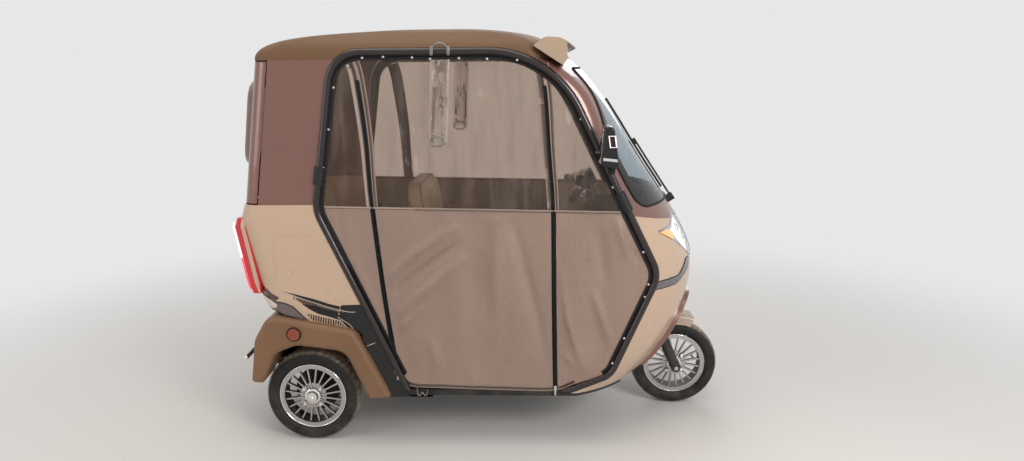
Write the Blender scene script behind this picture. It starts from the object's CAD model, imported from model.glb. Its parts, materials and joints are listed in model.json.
"""Looks of a three-wheeled cabin rickshaw: finishes, soft goods, wheels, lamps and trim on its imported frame.

Sizes are in millimetres and x is measured from the rear axle; at() turns them into the scene's metres. The
right-hand side is y < 0, the side that the camera sees.
"""

import json
import logging
import math
from collections.abc import Callable, Sequence
from dataclasses import dataclass
from enum import Enum

import bmesh
import bpy
from mathutils import Matrix, Vector, noise
from mathutils.bvhtree import BVHTree

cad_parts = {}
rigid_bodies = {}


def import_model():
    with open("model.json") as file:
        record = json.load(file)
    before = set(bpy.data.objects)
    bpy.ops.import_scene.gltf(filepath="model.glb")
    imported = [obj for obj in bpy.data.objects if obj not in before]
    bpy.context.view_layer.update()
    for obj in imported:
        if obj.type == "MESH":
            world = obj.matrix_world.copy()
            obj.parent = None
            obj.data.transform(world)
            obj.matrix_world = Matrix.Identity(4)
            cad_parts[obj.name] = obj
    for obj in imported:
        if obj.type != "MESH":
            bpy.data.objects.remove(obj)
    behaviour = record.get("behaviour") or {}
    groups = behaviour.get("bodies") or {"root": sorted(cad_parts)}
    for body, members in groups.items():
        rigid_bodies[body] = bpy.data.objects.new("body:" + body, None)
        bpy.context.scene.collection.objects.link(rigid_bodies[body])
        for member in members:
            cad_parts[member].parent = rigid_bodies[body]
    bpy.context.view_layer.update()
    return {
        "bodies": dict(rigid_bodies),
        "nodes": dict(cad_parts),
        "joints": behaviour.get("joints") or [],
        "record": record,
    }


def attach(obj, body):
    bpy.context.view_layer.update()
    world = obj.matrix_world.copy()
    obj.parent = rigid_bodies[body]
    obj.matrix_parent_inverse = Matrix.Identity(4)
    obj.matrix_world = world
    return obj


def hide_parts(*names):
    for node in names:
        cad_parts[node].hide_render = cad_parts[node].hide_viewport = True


LOG = logging.getLogger("rickshaw")
MM = 0.001
REAR_AXLE_X = -0.735  # the rear axle in the scene, in metres
WHEELBASE = 1600.0
TYRE_RADIUS = 200.0
REAR_WHEEL_Y = 392.0
SIDE_HALF, SIDE_FOOT, SIDE_LEAN = 465.0, 240.0, 2.0  # half width at a height, and the sides' lean in degrees

Item = bpy.types.Object
Nodes = dict[str, Item]
Colour = tuple[float, float, float]
Spot = tuple[float, float, float]
Flat = tuple[float, float]
Line = tuple[Flat, ...]
Socket = bpy.types.NodeSocket
Value = Socket | float | Sequence[float]
Inputs = dict[str | int, Value]

move = Matrix.Translation
MIRROR = Matrix.Scale(-1.0, 4, (0, 1, 0))


def turned(degrees: float, axis: str) -> Matrix:
    """A turn about one of the main axes."""
    return Matrix.Rotation(math.radians(degrees), 4, axis)


def at(x: float, y: float, z: float) -> Vector:
    """A point in the scene's metres, from millimetres and the rear axle."""
    return Vector((REAR_AXLE_X + x * MM, y * MM, z * MM))


def place() -> Matrix:
    """The matrix that takes millimetres from the rear axle to the scene's metres."""
    return move((REAR_AXLE_X, 0.0, 0.0)) @ Matrix.Scale(MM, 4)


def leaned() -> Matrix:
    """The matrix that takes (x, -out, z) in the flat right-hand side plane to the scene's metres."""
    return place() @ move((0, -SIDE_HALF, SIDE_FOOT)) @ turned(-SIDE_LEAN, "X") @ move((0, 0, -SIDE_FOOT))


def add_object(name: str, data: bpy.types.ID) -> Item:
    """A new object in the scene."""
    made = bpy.data.objects.new(name, data)
    bpy.context.scene.collection.objects.link(made)
    return made


class Graph:
    """A node tree that is being wired."""

    def __init__(self, tree: bpy.types.NodeTree) -> None:
        """Keeps the tree that new nodes go into."""
        self.tree = tree

    @classmethod
    def emptied(cls, owner: bpy.types.Material | bpy.types.World) -> "Graph":
        """The cleared node tree of a material or a world."""
        owner.use_nodes = True
        owner.node_tree.nodes.clear()
        return cls(owner.node_tree)

    def add(self, kind: str, inputs: Inputs | None = None, **settings: object) -> bpy.types.Node:
        """Adds a shader node.

        Args:
            kind: the node's type without its ShaderNode prefix.
            inputs: what feeds each input, by name or number.
            **settings: the node's own properties.

        Returns:
            The new node.
        """
        node = self.tree.nodes.new("ShaderNode" + kind)
        for name, value in settings.items():
            setattr(node, name, value)
        self.feed(node, inputs or {})
        return node

    def feed(self, node: bpy.types.Node, inputs: Inputs) -> None:
        """Links or sets a node's inputs."""
        for name, value in inputs.items():
            socket = node.inputs[name]
            if isinstance(value, Socket):
                self.tree.links.new(value, socket)
            else:
                socket.default_value = (*value, 1.0) if socket.type == "RGBA" and len(value) == 3 else value

    def math(self, operation: str, *values: Value, clamp: bool = False) -> Socket:
        """The result of a Math node on one to three values."""
        return self.add("Math", dict(enumerate(values)), operation=operation, use_clamp=clamp).outputs[0]

    def times(self, one: Value, other: Value) -> Socket:
        """Two numbers multiplied."""
        return self.math("MULTIPLY", one, other)

    def reach(self, x: Socket, z: Socket) -> Socket:
        """How far a flat point is from the origin."""
        return self.math("SQRT", self.math("ADD", self.times(x, x), self.times(z, z)))

    def mix(self, share: Value, one: Value, other: Value) -> Socket:
        """Two colours blended by a share."""
        return self.add("Mix", {0: share, 6: one, 7: other}, data_type="RGBA", clamp_factor=True).outputs[2]

    def band(self, value: Value, low: float, high: float, start: float = 0.0, end: float = 1.0) -> Socket:
        """A value taken smoothly from start to end as it goes from low to high."""
        inputs = {"Value": value, "From Min": low, "From Max": high, "To Min": start, "To Max": end}
        return self.add("MapRange", inputs, interpolation_type="SMOOTHSTEP").outputs[0]

    def noise(self, scale: Value, detail: float = 3.0, where: Socket | None = None,
              rough: float = 0.5) -> Socket:
        """Fractal noise of a scale, in features per metre, on Object coordinates unless told otherwise."""
        where = self.place_of() if where is None else where
        inputs = {"Vector": where, "Scale": scale, "Detail": detail, "Roughness": rough}
        return self.add("TexNoise", inputs).outputs[0]

    def place_of(self) -> Socket:
        """The Object coordinates."""
        return self.add("TexCoord").outputs["Object"]

    def mapped(self, where: Socket, location: Sequence[float] = (0, 0, 0), scale: Spot = (1, 1, 1)) -> Socket:
        """Coordinates through a Mapping node."""
        return self.add("Mapping", {"Vector": where, "Location": location, "Scale": scale}).outputs[0]

    def parts(self, where: Socket) -> list[Socket]:
        """A vector's three parts."""
        return list(self.add("SeparateXYZ", {0: where}).outputs)

    def facing(self) -> Socket:
        """The surface's normal."""
        return self.add("NewGeometry").outputs["Normal"]

    def bump(self, height: Socket, distance: float, **normal: Socket) -> Socket:
        """A normal from a height of 0 to 1 that stands for this many metres, over any Normal given."""
        inputs = {"Height": height, "Distance": distance, "Strength": 1.0, **normal}
        return self.add("Bump", inputs).outputs[0]


class Shared:
    """Node groups that several finishes use. Each is built once, when it is first asked for."""

    built: dict[str, bpy.types.NodeTree] = {}

    @classmethod
    def group(cls, name: str, inputs: dict[str, float], outputs: dict[str, str],
              wire: Callable[[Graph, dict[str, Socket]], dict[str, Socket]]) -> bpy.types.NodeTree:
        """Builds a group once and returns it.

        Args:
            name: the group's name.
            inputs: its number inputs with their usual values.
            outputs: its outputs with their socket types.
            wire: makes the nodes between the inputs and the outputs.

        Returns:
            The group's tree.
        """
        if name not in cls.built:
            tree = bpy.data.node_groups.new(name, "ShaderNodeTree")
            for label, usual in inputs.items():
                socket = tree.interface.new_socket(label, in_out="INPUT", socket_type="NodeSocketFloat")
                socket.default_value = usual
            for label, kind in outputs.items():
                tree.interface.new_socket(label, in_out="OUTPUT", socket_type=kind)
            entry, leave = tree.nodes.new("NodeGroupInput"), tree.nodes.new("NodeGroupOutput")
            for label, socket in wire(Graph(tree), dict(entry.outputs.items())).items():
                tree.links.new(socket, leave.inputs[label])
            cls.built[name] = tree
        return cls.built[name]

    @classmethod
    def edges(cls) -> bpy.types.NodeTree:
        """Softened edges, and a mask of where they are rubbed."""
        def wire(g: Graph, inp: dict[str, Socket]) -> dict[str, Socket]:
            """Compares a rounded normal with the surface's own."""
            soft = g.add("Bevel", {"Radius": inp["Radius"]}, samples=4).outputs[0]
            level = g.add("VectorMath", {0: soft, 1: g.facing()}, operation="DOT_PRODUCT").outputs[1]
            turn = g.math("SUBTRACT", 1.0, level)
            patchy = g.band(g.noise(inp["Breakup"], 5.0), 0.42, 0.62)
            rubbed = g.times(g.band(turn, 0.02, 0.2), patchy)
            return {"Mask": g.math("MULTIPLY", rubbed, inp["Amount"], clamp=True), "Normal": soft}
        return cls.group("edge_wear", {"Radius": 0.002, "Breakup": 40.0, "Amount": 1.0},
                         {"Mask": "NodeSocketFloat", "Normal": "NodeSocketVector"}, wire)

    @classmethod
    def dust(cls) -> bpy.types.NodeTree:
        """Road dust: thickest near the ground, with a thin film on what faces up."""
        def wire(g: Graph, inp: dict[str, Socket]) -> dict[str, Socket]:
            """Adds the low splash to the film on top."""
            height = g.parts(g.place_of())[2]
            splash = g.times(g.band(height, 0.42, 0.02), g.band(g.noise(14.0, 6.0, rough=0.65), 0.35, 0.75))
            up = g.band(g.parts(g.facing())[2], 0.3, 1.0)
            film = g.times(up, g.band(g.noise(5.0, 5.0), 0.3, 0.8, 0.05, 0.3))
            both = g.math("MAXIMUM", splash, film)
            return {"Mask": g.math("MULTIPLY", both, inp["Amount"], clamp=True)}
        return cls.group("road_dust", {"Amount": 0.5}, {"Mask": "NodeSocketFloat"}, wire)

    @classmethod
    def weave(cls) -> bpy.types.NodeTree:
        """A plain weave on the x and z axes: the height of its threads, and their uneven shade."""
        def wire(g: Graph, inp: dict[str, Socket]) -> dict[str, Socket]:
            """Crosses two sets of threads over and under each other."""
            x, _, z = g.parts(g.place_of())
            turn = g.times(inp["Threads"], math.pi)
            across = g.math("SINE", g.times(x, turn))
            along = g.math("SINE", g.times(z, turn))
            over = g.times(across, along)
            shade = g.noise(g.times(inp["Threads"], 0.12), 2.0)
            return {"Height": g.math("MULTIPLY_ADD", over, 0.5, 0.5), "Shade": shade}
        return cls.group("plain_weave", {"Threads": 900.0},
                         {"Height": "NodeSocketFloat", "Shade": "NodeSocketFloat"}, wire)


@dataclass(frozen=True)
class Finish:
    """A painted or moulded surface, and the base of the other finishes.

    The colour darkens a little in patches, dust lies low and on top, and rubbed edges show another colour.
    """

    name: str
    colour: Colour
    roughness: float = 0.35
    metallic: float = 0.0
    coat: float = 0.0
    specular: float = 0.5
    shade: float = 0.12  # how much darker the patches are
    patches: float = 4.0  # patches per metre
    grain: float = 350.0  # bumps per metre
    relief: float = 0.00002  # height of the bumps in metres
    edge: float = 0.0025  # how far an edge is softened, in metres
    wear: float = 0.0
    worn: Colour = (0.55, 0.52, 0.48)
    dust: float = 0.05
    dusty: Colour = (0.42, 0.36, 0.29)

    def material(self) -> bpy.types.Material:
        """The material, built when it is first asked for.

        Returns:
            The material with its node tree.
        """
        if self.name in bpy.data.materials:
            return bpy.data.materials[self.name]
        material = bpy.data.materials.new(self.name)
        g = Graph.emptied(material)
        usual = {"Metallic": self.metallic, "Roughness": self.roughness, "Specular IOR Level": self.specular}
        shader = g.add("BsdfPrincipled", {**usual, "Coat Weight": self.coat, "Coat Roughness": 0.05})
        self.dress(g, shader)
        g.add("OutputMaterial", {0: self.outer(g, shader)})
        return material

    def dress(self, g: Graph, shader: bpy.types.Node) -> None:
        """Feeds the shader's colour, roughness and normal."""
        edges = g.add("Group", {"Radius": self.edge, "Amount": self.wear}, node_tree=Shared.edges())
        dust = g.add("Group", {"Amount": self.dust}, node_tree=Shared.dust()).outputs[0]
        colour = g.mix(dust, g.mix(edges.outputs[0], self.tint(g), self.worn), self.dusty)
        uneven = g.math("MULTIPLY_ADD", g.noise(self.patches * 9.0, 4.0), 0.16, self.roughness - 0.08)
        rough = g.math("MULTIPLY_ADD", dust, 0.35, uneven, clamp=True)
        normal = g.bump(self.height(g), self.relief, Normal=edges.outputs[1])
        g.feed(shader, {"Base Color": colour, "Roughness": rough, "Normal": normal})

    def tint(self, g: Graph) -> Socket:
        """The clean colour."""
        dark = tuple(c * (1.0 - self.shade) for c in self.colour)
        return g.mix(g.band(g.noise(self.patches, 4.0), 0.35, 0.65), self.colour, dark)

    def height(self, g: Graph) -> Socket:
        """The fine relief."""
        return g.noise(self.grain, 2.0)

    def outer(self, g: Graph, shader: bpy.types.Node) -> Socket:
        """What goes to the output."""
        return shader.outputs[0]


@dataclass(frozen=True)
class Moulded(Finish):
    """Textured plastic or rubber with a pebble grain."""

    grain: float = 900.0
    relief: float = 0.00012

    def height(self, g: Graph) -> Socket:
        """Pebbles over a slow unevenness."""
        cells = g.add("TexVoronoi", {"Vector": g.place_of(), "Scale": self.grain}).outputs[0]
        return g.math("MULTIPLY_ADD", g.noise(self.grain * 0.3, 3.0), 0.5, cells)


@dataclass(frozen=True)
class Brushed(Finish):
    """Bare metal with fine drawn scratches along one axis."""

    metallic: float = 1.0
    stretch: Spot = (1.0, 1.0, 30.0)
    relief: float = 0.000012
    grain: float = 500.0
    worn: Colour = (0.2, 0.18, 0.16)

    def height(self, g: Graph) -> Socket:
        """Scratches, as noise drawn out along one axis."""
        return g.noise(self.grain, 4.0, g.mapped(g.place_of(), scale=self.stretch))


@dataclass(frozen=True)
class Leather(Finish):
    """Upholstery vinyl with a leather grain and creases."""

    grain: float = 420.0
    relief: float = 0.0002

    def height(self, g: Graph) -> Socket:
        """Cracked cells over soft creases."""
        where = g.place_of()
        warped = g.mix(0.06, where, g.add("TexNoise", {"Vector": where, "Scale": 60.0}).outputs[1])
        inputs = {"Vector": warped, "Scale": self.grain}
        cells = g.add("TexVoronoi", inputs, feature="DISTANCE_TO_EDGE").outputs[0]
        return g.math("ADD", g.band(cells, 0.0, 0.12), g.times(g.noise(25.0, 4.0), 1.5))


@dataclass(frozen=True)
class Coated(Finish):
    """Coated curtain cloth: a weave that shows through a matt skin, with hand marks and pale creases."""

    threads: float = 900.0
    relief: float = 0.00008

    def weave(self, g: Graph) -> list[Socket]:
        """The height and the shade of the threads."""
        return list(g.add("Group", {"Threads": self.threads}, node_tree=Shared.weave()).outputs)

    def tint(self, g: Graph) -> Socket:
        """Uneven shade of the threads and slow stains, drawn out downwards."""
        stains = g.noise(3.0, 6.0, g.mapped(g.place_of(), scale=(1.6, 1.0, 0.6)), 0.6)
        dark = tuple(c * (1.0 - self.shade) for c in self.colour)
        clean = g.mix(g.band(stains, 0.3, 0.7), self.colour, dark)
        light = tuple(min(1.0, c * 1.12) for c in self.colour)
        return g.mix(g.band(self.weave(g)[1], 0.35, 0.75, 0.0, 0.5), clean, light)

    def height(self, g: Graph) -> Socket:
        """The weave, with small wrinkles."""
        return g.math("MULTIPLY_ADD", g.noise(28.0, 5.0), 4.0, self.weave(g)[0])


@dataclass(frozen=True)
class Glazing(Finish):
    """Clear or tinted glass that lets shadow rays through."""

    see: float = 0.94  # how much of a shadow ray passes
    index: float = 1.45
    haze: float = 0.0  # added roughness in the streaks

    def dress(self, g: Graph, shader: bpy.types.Node) -> None:
        """Sets the glass, with faint smears."""
        streaks = g.noise(6.0, 5.0, g.mapped(g.place_of(), scale=(6.0, 6.0, 0.7)), 0.6)
        smear = g.math("MULTIPLY_ADD", g.band(streaks, 0.4, 0.8), self.haze, self.roughness)
        normal = g.bump(self.height(g), self.relief)
        g.feed(shader, {"Base Color": self.colour, "Transmission Weight": 1.0, "IOR": self.index,
                        "Roughness": smear, "Normal": normal})

    def outer(self, g: Graph, shader: bpy.types.Node) -> Socket:
        """Glass, replaced by a plain transparent shader for shadow rays."""
        clear = g.add("BsdfTransparent", {"Color": tuple(c * self.see for c in self.colour)})
        shadow = g.add("LightPath").outputs["Is Shadow Ray"]
        return g.add("MixShader", {0: shadow, 1: shader.outputs[0], 2: clear.outputs[0]}).outputs[0]


@dataclass(frozen=True)
class Film(Glazing):
    """Clear soft curtain film: hazy streaks that hang down, and shallow ripples."""

    milk: Colour = (0.6, 0.52, 0.46)
    cloud: float = 0.22  # how much of the film's haze is seen

    def height(self, g: Graph) -> Socket:
        """Ripples drawn out downwards."""
        where = g.mapped(g.place_of(), scale=(1.0, 1.0, 0.14))
        return g.math("ADD", g.noise(26.0, 3.0, where, 0.55), g.times(g.noise(7.0, 2.0, where), 3.0))

    def outer(self, g: Graph, shader: bpy.types.Node) -> Socket:
        """The clear film with a little milkiness in its streaks."""
        cloudy = g.add("BsdfDiffuse", {"Color": self.milk}).outputs[0]
        where = g.mapped(g.place_of(), scale=(1.0, 1.0, 0.16))
        streaks = g.band(g.noise(16.0, 6.0, where, 0.65), 0.42, 0.8)
        share = g.math("MULTIPLY_ADD", streaks, self.cloud, self.cloud * 0.35)
        return g.add("MixShader", {0: share, 1: super().outer(g, shader), 2: cloudy}).outputs[0]


@dataclass(frozen=True)
class Lit(Finish):
    """A lamp part that glows."""

    glow: float = 4.0
    shine: Colour = (1.0, 1.0, 1.0)

    def dress(self, g: Graph, shader: bpy.types.Node) -> None:
        """Dresses the lens and lights it in fine dots."""
        super().dress(g, shader)
        dots = g.add("TexVoronoi", {"Vector": g.place_of(), "Scale": 160.0}).outputs[0]
        dim = tuple(c * 0.55 for c in self.shine)
        light = g.mix(g.band(dots, 0.2, 0.6), self.shine, dim)
        g.feed(shader, {"Emission Strength": self.glow, "Emission Color": light})


class Axle(Enum):
    """Where each wheel's centre is, in millimetres, and which way its face looks."""

    FRONT = (WHEELBASE, 0.0, -1.0)
    RIGHT = (0.0, -REAR_WHEEL_Y, -1.0)
    LEFT = (0.0, REAR_WHEEL_Y, 1.0)

    @property
    def centre(self) -> Vector:
        """The wheel's centre in the scene's metres."""
        return at(self.value[0], self.value[1], TYRE_RADIUS)


@dataclass(frozen=True)
class SpokedAlloy(Finish):
    """A wheel with machined spoke faces and lip, and dark painted pockets between them."""

    axle: Axle = Axle.FRONT
    metallic: float = 1.0
    pocket: Colour = (0.012, 0.012, 0.013)

    def dress(self, g: Graph, shader: bpy.types.Node) -> None:
        """Bright where the face looks outwards, and dark and dull inside."""
        edges = g.add("Group", {"Radius": 0.0012}, node_tree=Shared.edges())
        facing = g.math("ABSOLUTE", g.parts(g.facing())[1])
        x, y, z = g.parts(g.mapped(g.place_of(), location=-self.axle.centre))
        out = g.times(y, self.axle.value[2])
        radius = g.reach(x, z)
        bright = g.times(g.band(facing, 0.75, 0.92), g.band(out, 0.008, 0.016))
        lip = g.times(g.band(radius, 0.1360, 0.1368), g.band(out, 0.012, 0.02))
        bright = g.math("MAXIMUM", bright, lip)
        swirl = g.noise(700.0, 4.0, g.add("CombineXYZ", {0: radius, 1: y, 2: 0.0}).outputs[0])
        clean = g.mix(swirl, self.colour, tuple(c * 0.82 for c in self.colour))
        grime = g.times(g.band(g.noise(30.0, 6.0), 0.45, 0.75), 0.35)
        colour = g.mix(grime, g.mix(bright, self.pocket, clean), self.dusty)
        metal = g.times(bright, g.math("SUBTRACT", 1.0, grime))
        rough = g.math("MULTIPLY_ADD", grime, 0.5, g.band(bright, 0.0, 1.0, 0.5, 0.2))
        normal = g.bump(swirl, 0.00001, Normal=edges.outputs[1])
        g.feed(shader, {"Base Color": colour, "Metallic": metal, "Roughness": rough, "Normal": normal})


@dataclass(frozen=True)
class TyreRubber(Finish):
    """Tyre rubber with moulded rings on its wall and road dust in its tread."""

    axle: Axle = Axle.FRONT

    def tint(self, g: Graph) -> Socket:
        """Black rubber, greyer on the tread where it meets the road."""
        radius = self.radius(g)
        tread = g.times(g.band(radius, 0.186, 0.199), g.band(g.noise(60.0, 5.0), 0.3, 0.7, 0.3, 1.0))
        return g.mix(tread, super().tint(g), self.dusty)

    def radius(self, g: Graph) -> Socket:
        """The distance from the wheel's axis."""
        x, _, z = g.parts(g.mapped(g.place_of(), location=-self.axle.centre))
        return g.reach(x, z)

    def height(self, g: Graph) -> Socket:
        """Fine concentric ribs on the wall, and the rubber's own grain."""
        radius = self.radius(g)
        ribs = g.math("SINE", g.times(radius, 2 * math.pi / 0.0016))
        band = g.times(g.band(radius, 0.156, 0.158), g.band(radius, 0.172, 0.170))
        return g.math("ADD", g.times(ribs, band), g.times(g.noise(400.0, 3.0), 0.8))


CREAM: Colour = (0.56, 0.40, 0.285)
TAN: Colour = (0.165, 0.095, 0.053)
MAUVE: Colour = (0.205, 0.094, 0.074)
SKIRT: Colour = (0.29, 0.20, 0.162)
ALLOY: Colour = (0.50, 0.49, 0.48)

BODY_CREAM = Finish("body_cream_gloss", CREAM, 0.3, coat=0.6, shade=0.05, patches=1.5, edge=0.0012, dust=0.12)
BODY_MAUVE = Finish("body_mauve_gloss", MAUVE, 0.3, 0.2, coat=0.6, shade=0.06, patches=1.5, edge=0.0012,
                    dust=0.1)
ROOF_TAN = Finish("roof_tan_satin", TAN, 0.52, specular=0.2, shade=0.08, edge=0.0012, dust=0.04)
VISOR_CREAM = Finish("visor_cream_satin", (0.43, 0.32, 0.23), 0.4, coat=0.1, shade=0.06, wear=0.05)
WING_TAN = Finish("wing_tan_satin", (0.22, 0.122, 0.067), 0.42, specular=0.3, shade=0.1, wear=0.05, dust=0.2)
GUARD_CREAM = Finish("mudguard_cream", (0.50, 0.385, 0.30), 0.38, coat=0.3, shade=0.08, wear=0.15, dust=0.5)
HOOP_BLACK = Finish("hoop_gloss_black", (0.022, 0.014, 0.015), 0.2, coat=0.3, specular=0.35, wear=0.1,
                    worn=(0.2, 0.17, 0.17))
BLACK_GLOSS = Finish("gloss_black_plastic", (0.008, 0.008, 0.009), 0.12, coat=0.2, specular=0.35, wear=0.06,
                     worn=(0.1, 0.1, 0.1))
BLACK_MATT = Moulded("grained_black_plastic", (0.016, 0.016, 0.017), 0.5, specular=0.3, wear=0.2,
                     worn=(0.08, 0.08, 0.08), dust=0.15)
FRAME_BLACK = Finish("satin_frame_paint", (0.022, 0.022, 0.024), 0.4, specular=0.35, wear=0.3,
                     worn=(0.18, 0.16, 0.15), dust=0.35)
GREY_TRIM = Finish("grey_trim_gloss", (0.155, 0.14, 0.16), 0.3, 0.3, coat=0.5, wear=0.1, dust=0.1)
STEEL = Brushed("drawn_steel", (0.55, 0.54, 0.52), 0.32, wear=0.35, dust=0.35)
DARK_STEEL = Brushed("darkened_steel", (0.26, 0.25, 0.24), 0.28, wear=0.1, dust=0.1)
CHROME = Brushed("bright_chrome", (0.82, 0.81, 0.80), 0.08, relief=0.000004, wear=0.1, dust=0.35)
RUBBER = Moulded("seal_rubber", (0.012, 0.012, 0.012), 0.6, specular=0.25, dust=0.1)
GRIP = Moulded("grip_rubber", (0.014, 0.014, 0.015), 0.55, specular=0.3, grain=600.0, dust=0.1)
BATTERY = Moulded("battery_case", (0.06, 0.06, 0.065), 0.6, wear=0.35, dust=0.35)
VINYL = Leather("cream_seat_vinyl", (0.55, 0.45, 0.34), 0.45, wear=0.15, dust=0.2)
PIPING = Leather("seat_piping", (0.20, 0.14, 0.11), 0.45, wear=0.1, dust=0.1)
CLOTH = Coated("coated_curtain_cloth", SKIRT, 0.42, shade=0.12, dust=0.15)
TAPE = Coated("zip_tape", (0.37, 0.275, 0.235), 0.6, shade=0.1, dust=0.15, threads=1400.0)
WELT = Coated("welt_cloth", (0.36, 0.265, 0.225), 0.55, shade=0.12, dust=0.2, threads=1100.0)
ZIP_BLACK = Moulded("zip_black", (0.010, 0.010, 0.011), 0.5, specular=0.25, dust=0.03)
BINDING = Coated("binding_ribbon", (0.012, 0.011, 0.012), 0.6, specular=0.25, threads=1300.0)
GLASS = Glazing("windscreen_glass", (0.56, 0.63, 0.68), 0.0, relief=0.0, index=1.3)
DARK_GLASS = Glazing("rear_window_tint", (0.16, 0.15, 0.15), 0.02, relief=0.0, see=0.8)
CLEAR_FILM = Film("clear_curtain_film", (0.70, 0.62, 0.56), 0.03, relief=0.0012, index=1.15, haze=0.12,
                  milk=(0.42, 0.35, 0.31), cloud=0.16)
STRAP_FILM = Film("strap_film", (0.95, 0.93, 0.90), 0.04, relief=0.0008, index=1.3, haze=0.1, cloud=0.35)
RED_LENS = Lit("red_lamp_lens", (0.42, 0.006, 0.012), 0.15, coat=0.8, glow=0.22, shine=(1.0, 0.01, 0.02))
AMBER_LENS = Lit("amber_lamp_lens", (0.27, 0.045, 0.006), 0.25, coat=0.5, glow=0.0, shine=(1.0, 0.25, 0.02))
STRIP_WHITE = Lit("lit_white_strip", (0.9, 0.75, 0.75), 0.2, coat=0.6, glow=1.2, shine=(1.0, 0.82, 0.82),
                  dust=0.0)
STRIP_RED = Lit("lit_red_strip", (0.9, 0.06, 0.09), 0.2, coat=0.6, glow=1.0, shine=(1.0, 0.16, 0.2), dust=0.0)
BEAM_WHITE = Lit("headlamp_light", (0.9, 0.9, 0.9), 0.2, coat=0.5, glow=0.9, shine=(1.0, 0.98, 0.95),
                 dust=0.0)
BEAM_AMBER = Lit("turn_signal_light", (0.9, 0.38, 0.12), 0.3, coat=0.5, glow=0.6, shine=(1.0, 0.46, 0.14),
                 dust=0.0)
LAMP_BOWL = Brushed("headlamp_reflector", (0.62, 0.63, 0.66), 0.12, relief=0.000004, dust=0.0)
LAMP_LENS = Glazing("headlamp_lens_clear", (0.95, 0.97, 1.0), 0.0, relief=0.0, index=1.3, see=0.96)
SMOKE_LENS = Finish("smoked_reflector", (0.135, 0.09, 0.10), 0.14, 0.1, coat=0.9, shade=0.1, wear=0.05)
WHITE_LENS = Finish("bumper_lamp_gloss", (0.72, 0.60, 0.53), 0.1, coat=1.0, shade=0.05)
DARK_RED = Finish("tail_wedge_dark", (0.055, 0.018, 0.018), 0.15, 0.1, coat=0.8)
DECAL_BLACK = Finish("decal_black_film", (0.010, 0.009, 0.009), 0.3, specular=0.35)
DECAL_BROWN = Finish("decal_brown_film", (0.15, 0.095, 0.075), 0.35, specular=0.4)
PALE_LINE = Finish("decal_pale_film", (0.66, 0.56, 0.47), 0.3, coat=0.4, dust=0.1)
MIRROR_SILVER = Brushed("mirror_silver", (0.86, 0.87, 0.88), 0.02, relief=0.0, dust=0.1)
PLATE_WHITE = Finish("plate_enamel", (0.70, 0.69, 0.66), 0.35, coat=0.3, wear=0.4, worn=(0.4, 0.39, 0.37),
                     dust=0.4)
DISPLAY = Glazing("display_glass_dark", (0.03, 0.04, 0.05), 0.04, relief=0.0, see=0.2)


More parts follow.
